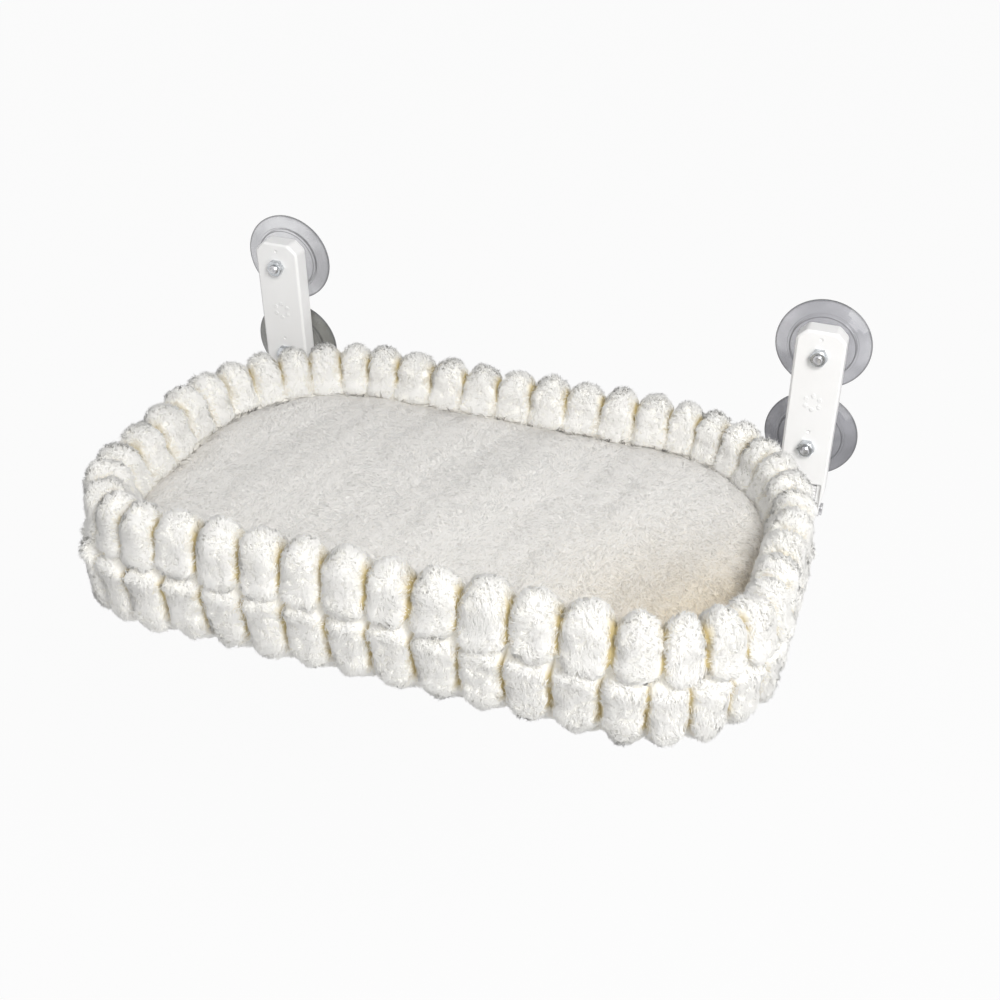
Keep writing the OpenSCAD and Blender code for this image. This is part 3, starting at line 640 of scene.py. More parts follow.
def threaded_stud(name):
    low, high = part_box(name)
    middle = (low + high) / 2
    head_r = (high.x - low.x) / 2
    back, front, tip = high.y, high.y - HEAD_T, low.y
    shank = np.arange(front, tip + 0.0002, -THREAD_PITCH / 8)
    along = np.r_[back, back, back - HEAD_ROUND, front + HEAD_ROUND, front, shank, tip, tip]
    angle = np.arange(STUD_SIDES) * 2 * math.pi / STUD_SIDES
    phase = np.mod(along[:, None] / THREAD_PITCH - angle[None, :] / (2 * math.pi), 1.0)
    radius = SHANK_R - THREAD_DEPTH * np.abs(2 * phase - 1)
    radius = np.minimum(radius, SHANK_R - TIP_CHAMFER + np.maximum(along - tip, 0)[:, None])
    radius[:5] = np.array([0.55 * head_r, head_r - HEAD_ROUND, head_r, head_r, head_r - HEAD_ROUND])[:, None]
    radius[-1] = 0.35 * SHANK_R
    rings = np.stack([middle.x + radius * np.cos(angle), np.broadcast_to(along[:, None], radius.shape),
                      middle.z + radius * np.sin(angle)], -1)
    rings[-1, :, 1] += 0.0004
    mesh = mesh_of(f"{name}_threaded", *capped_tube(rings))
    mesh.set_sharp_from_angle(angle=math.radians(35))
    return piece_of(mesh, "window_brackets", STEEL, [name])


for side in SIDES:
    for level in LEVELS:
        stud = threaded_stud(f"{side}_{level}_stud")
print("studs:", len(SIDES) * len(LEVELS), "with", len(stud.data.vertices), "points each")

# %% [markdown]
# The bed's outline is a rectangle with round corners, which are larger at the
# back. Everything soft follows it, so one function gives a point at any
# distance along it, drawn in by any amount.

# %% The bed's outline
row_low, row_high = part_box("upper_rib_ring")
waist_z, crest_z = row_low.z, row_high.z
bottom_z, lower_top = (corner.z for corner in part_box("lower_rib_ring"))
BED_L, BED_W, BED_GAP = 0.550, 0.330, 0.027
FRONT_R, REAR_R = 0.100, 0.150
FRONT_X, REAR_X = BED_L / 2 - FRONT_R, BED_L / 2 - REAR_R
FRONT_Y, REAR_Y = -BED_GAP - BED_W + FRONT_R, -BED_GAP - REAR_R
FRONT_END = FRONT_X + math.pi * FRONT_R / 2
SIDE_END = FRONT_END + REAR_Y - FRONT_Y
REAR_END = SIDE_END + math.pi * REAR_R / 2
OUTLINE_L = 2 * (REAR_END + REAR_X)
bed_middle = np.array([0.0, -BED_GAP - BED_W / 2])


def outline(u, inset):
    """Points at u along the outline, from the middle of the front towards +X, and the outward directions."""
    w = np.mod(u, OUTLINE_L)
    left = np.where(w > OUTLINE_L / 2, -1.0, 1.0)
    w = np.where(left < 0, OUTLINE_L - w, w)
    quarter = math.pi / 2
    turn = np.clip((w - FRONT_X) / FRONT_R, 0, quarter) + np.clip((w - SIDE_END) / REAR_R, 0, quarter)
    rear = w > SIDE_END
    x = np.where(rear, REAR_X - np.maximum(w - REAR_END, 0), np.minimum(w, FRONT_X))
    y = np.where(rear, REAR_Y, FRONT_Y + np.clip(w - FRONT_END, 0, SIDE_END - FRONT_END))
    reach = np.where(rear, REAR_R, FRONT_R) - inset
    outward = np.stack([left * np.sin(turn), -np.cos(turn)], -1)
    return np.stack([left * x, y], -1) + outward * reach[..., None], outward


print("outline:", round(OUTLINE_L, 4), "m; rows from", round(bottom_z, 4), "to", round(crest_z, 4))

# %% [markdown]
# The rim is two long sleeves of plush. The section of each is a smooth closed
# curve through a few points, which are shares of the row's width and height.
# Each point also says how much of the groove and of the pile's depth it has.

# %% Sections of the rows
SECTION_STEPS = 46
# Columns: share of the width inwards, of the height, of the groove, of the pile
UPPER_SHARES = np.array([
    [0.03, 0.00, 0.9, 0.8], [0.00, 0.30, 1.0, 1.0], [0.04, 0.76, 1.0, 1.0], [0.32, 0.98, 0.9, 1.0],
    [0.68, 0.97, 0.9, 1.0], [0.96, 0.72, 0.9, 1.0], [1.00, 0.36, 0.8, 1.0], [0.98, 0.00, 0.3, 0.3]])
LOWER_SHARES = np.array([
    [0.95, 0.00, 0.0, 0.0], [0.52, 0.00, 0.5, 0.6], [0.22, 0.05, 1.0, 1.0], [0.03, 0.26, 1.0, 1.0],
    [0.00, 0.60, 1.0, 1.0], [0.01, 0.88, 1.0, 1.0], [0.04, 1.00, 0.9, 0.8], [1.00, 1.00, 0.0, 0.0]])


def closed_curve(shares, steps):
    """A smooth closed curve through a few points, evenly spaced along its length."""
    fine = np.linspace(0, len(shares), 40 * len(shares), endpoint=False)
    i = fine.astype(int)
    t = (fine - i)[:, None]
    p0, p1, p2, p3 = (shares[(i + k) % len(shares)] for k in (-1, 0, 1, 2))
    # The bends are eased, so that the flat sides don't bulge
    ease = 0.42
    m1, m2 = ease * (p2 - p0), ease * (p3 - p1)
    curve = (2 * t**3 - 3 * t**2 + 1) * p1 + (t**3 - 2 * t**2 + t) * m1 \
        + (-2 * t**3 + 3 * t**2) * p2 + (t**3 - t**2) * m2
    ring = np.vstack([curve, curve[:1]])
    along = np.r_[0, np.cumsum(np.linalg.norm(np.diff(ring[:, :2], axis=0), axis=1))]
    wanted = np.linspace(0, along[-1], steps, endpoint=False)
    return np.stack([np.interp(wanted, along, ring[:, k]) for k in range(ring.shape[1])], -1)


# %% [markdown]
# The sleeves are filled and sewn across at even steps, so that they puff into
# ribs with a narrow groove between each two. A rib is the section swept along
# the outline and drawn in sharply at the grooves, with rounder ends than
# faces. No two ribs are the same, so each has its own width, swell and lean.
# The pile is long, so this skin lies a few millimetres inside the true
# surface, except at the waist, where the two rows meet.

# %% Ribs
RIBS = 48
STEPS_PER_RIB = 16
PILE_DEPTH = 0.0042
FIRST_GROOVE, RIB_SHIFT = -0.0085, 0.0060
WIDE_PART, NARROW_PART = 0.245, 0.45
LEFT_CORNER = OUTLINE_L - 0.45 * FRONT_X - 0.55 * FRONT_END
CORNER_REACH = 0.052
LUMP_HEIGHT, LUMP_LENGTHS = 0.00035, (0.013, 0.021)


def ease_in(x):
    return np.sin(np.clip(x, 0, 1) * math.pi / 2) ** 2


def waves(places, lengths, rng):
    """A smooth random direction at each place, made of a few sine waves."""
    found = np.zeros_like(places)
    for length in lengths:
        for axis in range(3):
            k = unit(rng.normal(size=3)) * 2 * math.pi / length
            found[:, axis] += np.sin(places @ k + rng.uniform(0, 2 * math.pi))
    return found


class Row:
    """One sleeve of ribs: the skin's points and, at each, how deep in a groove it lies."""

    def __init__(self, shares, width, height, bottom, depth, round_end, scallop, drift, extra, full, seed):
        rng = np.random.default_rng(seed)
        count = RIBS * STEPS_PER_RIB
        section = closed_curve(shares, SECTION_STEPS)
        seam = np.arange(RIBS + 1) * OUTLINE_L / RIBS + FIRST_GROOVE
        seam += RIB_SHIFT * np.sin(2 * math.pi * seam / OUTLINE_L)
        # The ribs of the right front are wider, and the next ones are narrower for it
        seam += drift * ease_in(seam / WIDE_PART) * (1 - ease_in((seam - WIDE_PART) / NARROW_PART))
        seam[1:-1] += rng.uniform(-0.0012, 0.0012, RIBS - 1)
        rib = np.repeat(np.arange(RIBS), STEPS_PER_RIB)
        t = np.tile(np.arange(STEPS_PER_RIB) / STEPS_PER_RIB, RIBS)
        # More steps near the grooves
        t = t - 0.085 * np.sin(4 * math.pi * t) / 2
        u = seam[rib] + t * (seam[rib + 1] - seam[rib])
        end = np.exp(-((section[:, 1] - round_end) / 0.22) ** 2)
        sunk = np.abs(2 * t - 1)[:, None] ** (4.0 - 1.8 * end)[None, :]
        swell = rng.uniform(-0.0008, 0.0012, RIBS)[rib][:, None] * (1 - sunk)
        lean = rng.uniform(-0.0020, 0.0020, RIBS + 1)
        lean = lean[rib] + t * (lean[(rib + 1) % RIBS] - lean[rib])
        share = section[None, :, 2]
        out = (section[:, :2] - 0.5) * (width, height)
        reach = np.linalg.norm(out, axis=-1)[None, :]
        drawn = depth * (1 + scallop * end) * share * sunk + PILE_DEPTH * section[None, :, 3] - swell * share
        place = out[None] * (1 - drawn / reach)[..., None]
        bend = lean[:, None] * (place[..., 1] / height)
        xy, outward = outline(u[:, None] + bend, 0.5 * width + place[..., 0])
        # The front left corner is stuffed fuller, on its outer side
        corner = np.exp(-((np.mod(u, OUTLINE_L) - LEFT_CORNER) / CORNER_REACH) ** 2)[:, None]
        corner = corner * np.clip(0.5 - place[..., 0] / width, 0, 1)
        xy[..., 1] -= full[0] * corner
        # The rim is a little taller at the front
        taller = extra[0] + extra[1] * (0.5 - 0.5 * outward[..., 1]) ** 2
        lift = 0.5 + place[..., 1] / height
        lift = lift * (height + taller) - taller * (1 - round_end)
        lift -= full[1] * corner * np.clip(0.5 - place[..., 1] / height, 0, 1)
        self.points = np.dstack([xy, bottom + lift]).reshape(-1, 3)
        lumps = waves(self.points, LUMP_LENGTHS, rng)
        self.points += LUMP_HEIGHT * lumps * np.repeat(section[None, :, 3], count, axis=0).reshape(-1, 1)
        self.groove = (sunk * share).ravel()
        self.share = np.broadcast_to(share, (count, SECTION_STEPS)).ravel()
        self.across = np.broadcast_to(section[None, :, 0], (count, SECTION_STEPS)).ravel()
        self.rise = np.broadcast_to(section[None, :, 1], (count, SECTION_STEPS)).ravel()
        self.u = np.repeat(u, SECTION_STEPS)
        # Along the outline, away from the nearer groove
        self.away = np.repeat(np.where(t < 0.5, 1.0, -1.0), SECTION_STEPS)
        self.faces = grid_faces(count, SECTION_STEPS)[:, ::-1]


# %% [markdown]
# The two rows differ in size, in which end is round, and in how much taller
# they get towards the front. In the photo the ribs of the right front are
# wider, and the lower row hangs fuller at the front left corner.

# %% The two rows
UPPER_W, LOWER_W = 0.037, 0.032
UPPER = Row(UPPER_SHARES, UPPER_W, crest_z - waist_z, waist_z, 0.0085, 1.0, 0.3, 0.0185,
            (0.004, 0.010), (0.004, 0.0), 11)
LOWER = Row(LOWER_SHARES, LOWER_W, lower_top - bottom_z, bottom_z, 0.0095, 0.0, 0.7, 0.0080,
            (0.003, 0.008), (0.014, 0.011), 23)
print("ribs:", RIBS, "in each row;", len(UPPER.points), "points a row")

# %% [markdown]
# The plush is painted whiter at the tips of its pile, as a painted highlight, and warmer and darker where it
# is deep, as painted shade in the grooves, so its tone is read from how deep a place lies. The skin carries
# that depth as an attribute. A strand carries it in its UV map: across is the depth of the place it grows
# from, and up is the way from root to tip.

# %% Finish of the plush
# The tip colour is a painted highlight, and the deep colour is painted shade in the grooves
TIP_HIGHLIGHT, BODY, GROOVE_SHADE = (0.97, 0.968, 0.96, 1), (0.94, 0.925, 0.88, 1), (0.50, 0.41, 0.21, 1)
# Fibres pass light on to each other, more than a few bounces can show
PASSED_ON = 0.12


def plush_skin(name, body):
    finish = Finish(name, Roughness=0.95, Sheen_Weight=0.2, Sheen_Roughness=0.5)
    depth = finish.nodes.new("ShaderNodeAttribute")
    depth.attribute_name = "depth"
    tone = finish.effect(CLOUDY_TONE, Scale=55.0, Light=body, Dark=tuple(0.96 * c for c in body[:3]) + (1,))
    # Painted shade: the skin turns ochre where it lies deep in a groove
    deep = add_spread(finish.tree, depth.outputs["Fac"], 0.35, 0.75).outputs[0]
    colour = finish.mixed(deep, tone["Color"], GROOVE_SHADE)
    finish.feed(colour, "Base Color")
    finish.feed(colour, "Emission Color")
    finish.shader.inputs["Emission Strength"].default_value = PASSED_ON
    finish.bump(finish.effect(FINE_GRAIN, Scale=420.0, Smooth=0.9, Rough=1.0)["Height"], 0.0010)
    return finish.material


def pile_finish(name, tip, body, deep, passed_on):
    finish = Finish(name, Roughness=0.85, Specular_IOR_Level=0.2)
    uv = finish.nodes.new("ShaderNodeUVMap")
    uv.uv_map = "OFBake"
    fibre = finish.effect(FIBRE_TONE, Vector=uv.outputs[0], Tip=tip, Body=body, Deep=deep)
    finish.feed(fibre["Color"], "Base Color")
    finish.feed(fibre["Color"], "Emission Color")
    finish.shader.inputs["Emission Strength"].default_value = passed_on
    return finish.material


PLUSH = plush_skin("plush_skin", BODY)
PLUSH_PILE = pile_finish("plush_pile", TIP_HIGHLIGHT, BODY, GROOVE_SHADE, PASSED_ON)


def add_row(row, name, node):
    mesh = mesh_of(name, row.points, row.faces)
    mesh.attributes.new("depth", "FLOAT", "POINT").data.foreach_set("value", row.groove.astype(np.float32))
    piece = piece_of(mesh, "bed", PLUSH, [node])
    return piece


upper_row = add_row(UPPER, "upper_plush_row", "upper_rib_ring")
lower_row = add_row(LOWER, "lower_plush_row", "lower_rib_ring")

# %% [markdown]
# The pile itself is real geometry: thin tapered strands in clumps, which give the rim its fuzzy outline.
# They grow at random places, evenly over the area, bend over with a slow wave of direction, and stand apart
# at the grooves, so that the skin's painted groove shade shows at the seams as thin warm lines. A strand is
# a closed spike with a ridge, and its shading leans towards that of the skin below, as in a fibre that light
# passes through.

# %% Strands
def surface_spots(points, normals, faces, weight, count, rng, values):
    """Random places on quads, as many per area as weight says, with values interpolated there."""
    corners = points[faces]
    across, down = corners[:, 2] - corners[:, 0], corners[:, 3] - corners[:, 1]
    area = 0.5 * np.linalg.norm(np.cross(across, down), axis=-1)
    chance = np.cumsum(area * weight[faces].mean(1))
    spots = np.searchsorted(chance, rng.uniform(0, chance[-1], count))
    a, b = rng.uniform(0, 1, (2, count))
    share = np.stack([(1 - a) * (1 - b), a * (1 - b), a * b, (1 - a) * b], -1)
    chosen = faces[spots]

    def at(value):
        return (value[chosen] * share.reshape(share.shape + (1,) * (value.ndim - 1))).sum(1)

    return at(points), unit(at(normals)), [at(v) for v in values]


def clumps(spot, normal, values, each, spread, rng):
    """Repeats each place a few times, scattered round it in its own plane."""
    spot, normal = np.repeat(spot, each, axis=0), np.repeat(normal, each, axis=0)
    values = [np.repeat(v, each, axis=0) for v in values]
    across = unit(np.cross(normal, [0.31, 0.52, 0.79]))
    along = np.cross(normal, across)
    off = rng.normal(0, spread, (2, len(spot)))
    return spot + across * off[0][:, None] + along * off[1][:, None], spot, normal, values


CORNERS = 7
SPIKE = np.array([[0, 1, 4], [0, 4, 3], [1, 2, 5], [1, 5, 4], [2, 0, 3], [2, 3, 5],
                  [3, 4, 6], [4, 5, 6], [5, 3, 6], [0, 2, 1]])


def strand_mesh(name, root, skin, lean, stand, length, width, tone, own_share):
    """Spikes that leave their roots at a steepness of stand and bend over towards lean."""
    side = unit(np.cross(lean, skin))
    flat = np.sqrt(np.maximum(1 - stand**2, 0))
    first = skin * stand[:, None] + lean * flat[:, None]
    ridge = skin * flat[:, None] - lean * stand[:, None]
    second = unit(first - 0.45 * ridge)
    half = side * (width / 2)[:, None]
    crest = ridge * (0.45 * width)[:, None]
    middle = root + first * (0.5 * length)[:, None]
    tip = middle + second * (0.5 * length)[:, None]
    points = np.stack([root + half, root - half, root + crest,
                       middle + 0.8 * half, middle - 0.8 * half, middle + 0.8 * crest, tip], 1)
    faces = (SPIKE[None] + CORNERS * np.arange(len(root))[:, None, None]).reshape(-1, 3)
    mesh = mesh_of(name, points.reshape(-1, 3), faces)
    own = np.stack([side, -side, ridge, side, -side, ridge, ridge], 1)
    shade = unit((1 - own_share) * skin[:, None] + own_share * own + 0.10 * lean[:, None])
    shade, corner = shade.reshape(-1, 3)[faces], points.reshape(-1, 3)[faces]
    face = unit(np.cross(corner[:, 1] - corner[:, 0], corner[:, 2] - corner[:, 0]))[:, None]
    # On its underside a strand keeps its own direction, or it would look black
    shade = unit(shade + np.maximum(0.45 - (shade * face).sum(-1, keepdims=True), 0) * face)
    normals = mesh.attributes.new("custom_normal", "FLOAT_VECTOR", "CORNER")
    normals.data.foreach_set("vector", shade.astype(np.float32).ravel())
    up = np.array([0, 0, 0, 0.5, 0.5, 0.5, 1.0])[faces.ravel() % CORNERS]
    across = np.repeat(tone, SPIKE.size)
    uv = mesh.uv_layers.new(name="OFBake")
    uv.data.foreach_set("uv", np.stack([across, up], -1).astype(np.float32).ravel())
    return mesh


# %% [markdown]
# On the rim the strands differ from place to place, as the photo shows. Those on the crest stand up and part
# like a brush, those on the faces lie over in swirls, and those beside a groove are short and lean away from
# it. The inner faces see less light, so their pile is painted creamier, as painted shade.

# %% Pile of the rim
PILE_LENGTH, PILE_WIDTH = 0.0070, 0.00056
STRANDS_PER_CLUMP = 10
CLUMP_SPREAD = 0.0016
# How deep a groove may be before it is bare, and how softly the pile ends there
BARE_GROOVE, GROOVE_EDGE = 0.66, 0.16
SWIRLS, CLOUDS = (0.045, 0.018), (0.012, 0.030)
OWN_SHADE = 0.20
thin = 1.0


def plush_pile(row, piece, parts, strands, shown, seed):
    """The pile on the part of a row that shows, in as many pieces as parts says."""
    rng = np.random.default_rng(seed)
    skin = read_points(piece.data, "normal")
    out_xy = outline(row.u, np.zeros(len(row.u)))[1]
    out_3d = np.c_[out_xy, np.zeros(len(row.u))]
    along = np.stack([-out_xy[:, 1], out_xy[:, 0], np.zeros(len(row.u))], -1)
    open_share = np.clip((BARE_GROOVE - row.groove) / GROOVE_EDGE, 0.0, 1.0)
    root, skin, (depth, away, tangent, outward, rise, across) = surface_spots(
        row.points, skin, row.faces, shown * open_share, strands // STRANDS_PER_CLUMP, rng,
        [row.groove, row.away, along, out_3d, row.rise, row.across])
    spot, centre, skin, (depth, away, tangent, outward, rise, across) = clumps(
        root, skin, [depth, away, tangent, outward, rise, across], STRANDS_PER_CLUMP, CLUMP_SPREAD, rng)
    depth = np.clip(depth, 0, 1)
    crest = np.clip((skin[:, 2] - 0.35) / 0.5, 0, 1)
    lean = 0.8 * unit(waves(centre, SWIRLS, rng)) + 0.20 * rng.normal(size=centre.shape)
    lean *= (1 - 0.5 * crest)[:, None]
    lean += np.array([0, 0, -0.35]) * (1 - crest)[:, None] - 0.25 * outward * crest[:, None]
    lean += tangent * (away * 1.4 * depth)[:, None]
    # Strands of one clump end close together
    lean += (centre - spot) / CLUMP_SPREAD * 0.40
    lean = unit(lean - skin * (lean * skin).sum(-1, keepdims=True))
    stand = np.clip(0.56 + 0.18 * crest + rng.normal(0, 0.08, len(spot)), 0.30, 0.92)
    length = PILE_LENGTH * rng.uniform(0.7, 1.1, len(spot)) * (1 - 0.50 * depth) * (0.88 + 0.12 * crest)
    width = PILE_WIDTH * rng.uniform(0.7, 1.2, len(spot))
    cloud = waves(centre, CLOUDS, rng)[:, 0]
    # Painted shade: the pile of the inner faces is made creamier
    inside = np.clip((across - 0.45) / 0.3, 0, 1) * (1 - 0.7 * crest)
    # Painted shade: strands from deep in a groove get the darker, warmer tone
    tone = np.clip(0.10 + 0.95 * depth**1.3 + 0.05 * cloud + 0.16 * inside
                   + rng.normal(0, 0.04, len(spot)), 0.0, 1.0)
    part = np.zeros(len(spot), int)
    order = np.argsort(np.arctan2(centre[:, 1] - bed_middle[1], centre[:, 0]))
    part[order] = np.arange(len(spot)) * parts // len(spot)
    for k in range(parts):
        mine = part == k
        mesh = strand_mesh(f"{piece.name}_pile_{k + 1}", spot[mine], skin[mine], lean[mine], stand[mine],
                           length[mine], width[mine], tone[mine], OWN_SHADE)
        ride_along(piece_of(mesh, "bed", PLUSH_PILE), piece)
    print(piece.name, "strands:", len(spot))


upper_shown = np.where((UPPER.across < 0.10) | (UPPER.rise > 0.06), 1.0, 0.0)
lower_shown = np.where((LOWER.across < 0.15) | ((LOWER.across < 0.75) & (LOWER.rise < 0.5)), 1.0, 0.0)
plush_pile(UPPER, upper_row, 9, int(168000 * thin), upper_shown, 31)
plush_pile(LOWER, lower_row, 6, int(108000 * thin), lower_shown, 37)

# %% [markdown]
# The sleeping mat is a flat pad of filling in a fleece cover. Filling pushes
# a cover out until its seam stops it, which a cloth simulation with inner
# pressure does by itself: the pad starts a little too thin, with a low crown,
# and swells. How far a point may move is capped, so that the pad stays clear
# of the rim.

# %% Pads
# How large the rings of a pad's two faces are, from its edge to its middle
FILLS = (0.97, 0.9, 0.8, 0.7, 0.6, 0.5, 0.4, 0.3, 0.2, 0.1, 0.03)


def slab_rings(inset, low, high, edge_r, crown, steps):
    """Rings of points of a flat pad with the bed's outline, a round edge and a low crown."""
    angles = np.linspace(-math.pi / 2, math.pi / 2, 9)
    middle, half = (low + high) / 2, (high - low) / 2 - edge_r
    edge = [(edge_r * (1 - math.cos(a)) + inset, middle + math.copysign(half, a) + edge_r * math.sin(a))
            for a in angles]
    u = OUTLINE_L * np.arange(steps) / steps

    def ring(d, z, share=1.0):
        plan = outline(u, np.full(steps, d))[0]
        return np.c_[bed_middle + (plan - bed_middle) * share, np.full(steps, z)]

    rings = [ring(*edge[0], share) for share in FILLS[::-1]]
    rings += [ring(d, z) for d, z in edge]
    rings += [ring(edge[-1][0], edge[-1][1] + crown * (1 - share**2), share) for share in FILLS]
    return rings


PRESSURE, PUFF_STEPS, PAD_STEPS = 4.0, 20, 180


def puff(mesh, voxel, cap):
    """Remeshes a pad evenly and lets pressure swell it. A point stays within cap of its start."""
    name = mesh.name
    mesh.name = f"{name}_start"
    pad = bpy.data.objects.new(mesh.name, mesh)
    bpy.context.scene.collection.objects.link(pad)
    remesh = pad.modifiers.new("remesh", "REMESH")
    remesh.mode, remesh.voxel_size = "VOXEL", voxel
    even = bpy.data.meshes.new_from_object(pad.evaluated_get(bpy.context.evaluated_depsgraph_get()))
    pad.modifiers.clear()
    pad.data = even
    rest = read_points(even)
    cloth = pad.modifiers.new("cloth", "CLOTH")
    cloth.settings.use_pressure = True
    cloth.settings.uniform_pressure_force = PRESSURE
    cloth.settings.effector_weights.gravity = 0
    cloth.point_cache.frame_start, cloth.point_cache.frame_end = 1, PUFF_STEPS
    for step in range(1, PUFF_STEPS + 1):
        bpy.context.scene.frame_set(step)
    swollen = bpy.data.meshes.new_from_object(pad.evaluated_get(bpy.context.evaluated_depsgraph_get()))
    moved = read_points(swollen) - rest
    size = np.linalg.norm(moved, axis=-1, keepdims=True)
    limited = rest + moved / np.maximum(size, 1e-9) * cap * np.tanh(size / cap)
    bpy.data.objects.remove(pad)
    bpy.context.scene.frame_set(1)
    even.vertices.foreach_set("co", limited.astype(np.float32).ravel())
    even.name = name
    even.update()
    even.shade_smooth()
    return even


def pad_mesh(name, inset, low, high, edge_r, crown, swell, voxel):
    """A pad that fills the room between two heights, by swelling."""
    top = high - crown - swell
    rings = slab_rings(inset + 0.6 * swell, low + 0.15 * swell, top, edge_r, crown, PAD_STEPS)
    mesh = mesh_of(name, *capped_tube(rings))
    return puff(mesh, voxel, swell)


# %% [markdown]
# The mat's cover is a short fleece, a little greyer than the rim, and the
# cushion below it has a plain woven cover, which only shows when the bed is
# taken apart.

# %% Mat and cushion
# Painted shade and painted bounce light of the rim on the mat
FLEECE_RIM_SHADE = (0.66, 0.56, 0.40, 1)
# How far the painted shade reaches from the edge, and the place and size of the painted shade in the corner
EDGE_SHADE_REACH = 0.016
CORNER_AT, CORNER_SIZE = (0.95, -0.75), (0.105, 0.095)


def painted_rim_shade(points):
    """How much painted shade and painted bounce light the mat gets from the ribs: along its edge, and most
    in the front right corner.
    """
    plan = points[:, :2] - bed_middle
    half = np.array([BED_L, BED_W]) / 2 - MAT_INSET
    border = np.minimum(half[0] - np.abs(plan[:, 0]), half[1] - np.abs(plan[:, 1]))
    corner = np.linalg.norm((plan - half * CORNER_AT) / CORNER_SIZE, axis=-1)
    return np.clip(0.35 * np.exp(-np.maximum(border, 0) / EDGE_SHADE_REACH) + 0.75 * np.exp(-corner**2), 0, 1)


def fleece():
    finish = Finish("mat_fleece", Roughness=0.95, Sheen_Weight=0.3, Sheen_Roughness=0.5)
    rim_shade = finish.nodes.new("ShaderNodeAttribute")
    rim_shade.attribute_name = "rim_shade"
    tone = finish.effect(CLOUDY_TONE, Scale=38.0, Light=(0.82, 0.81, 0.79, 1), Dark=(0.80, 0.79, 0.765, 1))
    # Painted shade and painted bounce light near the rim
    finish.feed(finish.mixed(rim_shade.outputs["Fac"], tone["Color"], FLEECE_RIM_SHADE), "Base Color")
    finish.bump(finish.effect(FINE_GRAIN, Scale=380.0, Smooth=0.9, Rough=1.0)["Height"], 0.0009)
    return finish.material


def woven_cloth(name, light, step):
    """Plain woven cloth in one colour, with darker gaps between its threads."""
    finish = Finish(name, Roughness=0.9)
    tone = finish.effect(CLOUDY_TONE, Scale=20.0, Light=grey(light, 0.05), Dark=grey(light - 0.06, 0.07))
    thread = finish.effect(WEAVE, Step=step)
    finish.feed(finish.mixed(thread["Gap"], tone["Color"], grey(light - 0.26, 0.08)), "Base Color")
    finish.bump(thread["Height"], 0.3 * step)
    return finish.material


FLEECE = fleece()
COVER = woven_cloth("cushion_cover", 0.74, 0.0007)
MAT_INSET = BASE_INSET = LOWER_W + 0.0003
mat_low, mat_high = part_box("sleeping_mat")
mat = piece_of(
    pad_mesh("fleece_mat", MAT_INSET, mat_low.z, mat_high.z, 0.0045, 0.0020, 0.0035, 0.0045),
    "bed", FLEECE, ["sleeping_mat"])
# The mat's points carry the painted rim shade
mat.data.attributes.new("rim_shade", "FLOAT", "POINT").data.foreach_set(
    "value", painted_rim_shade(read_points(mat.data)).astype(np.float32))
smooth = mat.modifiers.new("smooth", "SUBSURF")
smooth.levels = smooth.render_levels = 1
cushion_low, cushion_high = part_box("base_cushion")
cushion = piece_of(
    pad_mesh("padded_base", BASE_INSET, cushion_low.z, cushion_high.z, 0.009, 0.0, 0.003, 0.0060),
    "bed", COVER, ["base_cushion"])
print("mat:", len(mat.data.vertices), "points; base cushion:", len(cushion.data.vertices))

# %% [markdown]
# Fleece has a short, brushed pile that lies nearly flat in slow swirls. It is made as the rim's pile is,
# with finer strands that lean further. Near the rim less light comes in and the cream ribs throw warm light
# on it, so it is painted warmer there, as painted shade and painted bounce light.

# %% Pile of the mat
# The tip colour is a painted highlight
FLEECE_TIP_HIGHLIGHT, FLEECE_BODY = (0.83, 0.822, 0.80, 1), (0.80, 0.785, 0.76, 1)
FLEECE_PILE = pile_finish("fleece_pile", FLEECE_TIP_HIGHLIGHT, FLEECE_BODY, FLEECE_RIM_SHADE, PASSED_ON)
FLEECE_CLUMP, FLEECE_SPREAD = 5, 0.0022
FLEECE_LENGTH, FLEECE_WIDTH = (0.0045, 0.0085), 0.0008
FLEECE_SWIRLS, FLEECE_OWN_SHADE = (0.070, 0.024), 0.30


def fleece_pile(piece, parts, strands, seed):
    rng = np.random.default_rng(seed)
    evaluated = piece.evaluated_get(bpy.context.evaluated_depsgraph_get()).to_mesh()
    points, skin = read_points(evaluated), read_points(evaluated, "normal")
    quads = np.array([tuple(p.vertices) for p in evaluated.polygons if len(p.vertices) == 4])
    top = np.where(skin[:, 2] > 0.15, 1.0, 0.0)
    spot, skin, _ = surface_spots(points, skin, quads, top, strands // FLEECE_CLUMP, rng, [])
    spot, centre, skin, _ = clumps(spot, skin, [], FLEECE_CLUMP, FLEECE_SPREAD, rng)
    lean = unit(waves(centre, FLEECE_SWIRLS, rng)) + 0.55 * rng.normal(size=centre.shape)
    lean = unit(lean - skin * (lean * skin).sum(-1, keepdims=True))
    stand = np.clip(rng.normal(0.20, 0.07, len(spot)), 0.05, 0.5)
    length = rng.uniform(*FLEECE_LENGTH, len(spot))
    # The tone starts to turn to the painted rim shade at 0.3
    tone = np.clip(0.28 + 0.72 * painted_rim_shade(spot) + rng.normal(0, 0.05, len(spot)), 0, 1)
    across = (spot[:, 0] - mat_low.x) / (mat_high.x - mat_low.x)
    part = np.clip(across * parts, 0, parts - 1).astype(int)
    for k in range(parts):
        mine = part == k
        mesh = strand_mesh(f"{piece.name}_pile_{k + 1}", spot[mine], skin[mine], lean[mine], stand[mine],
                           length[mine], np.full(mine.sum(), FLEECE_WIDTH), tone[mine], FLEECE_OWN_SHADE)
        ride_along(piece_of(mesh, "bed", FLEECE_PILE), piece)
    print("mat strands:", len(spot))


fleece_pile(mat, 4, int(64000 * thin), 41)

# %% [markdown]
# Under the bed a plain cloth closes the cover. It is a sheet with the bed's
# outline, sewn all round into a thin piping. Near its edge it has shallow
# puckers, because it is stretched by hand.

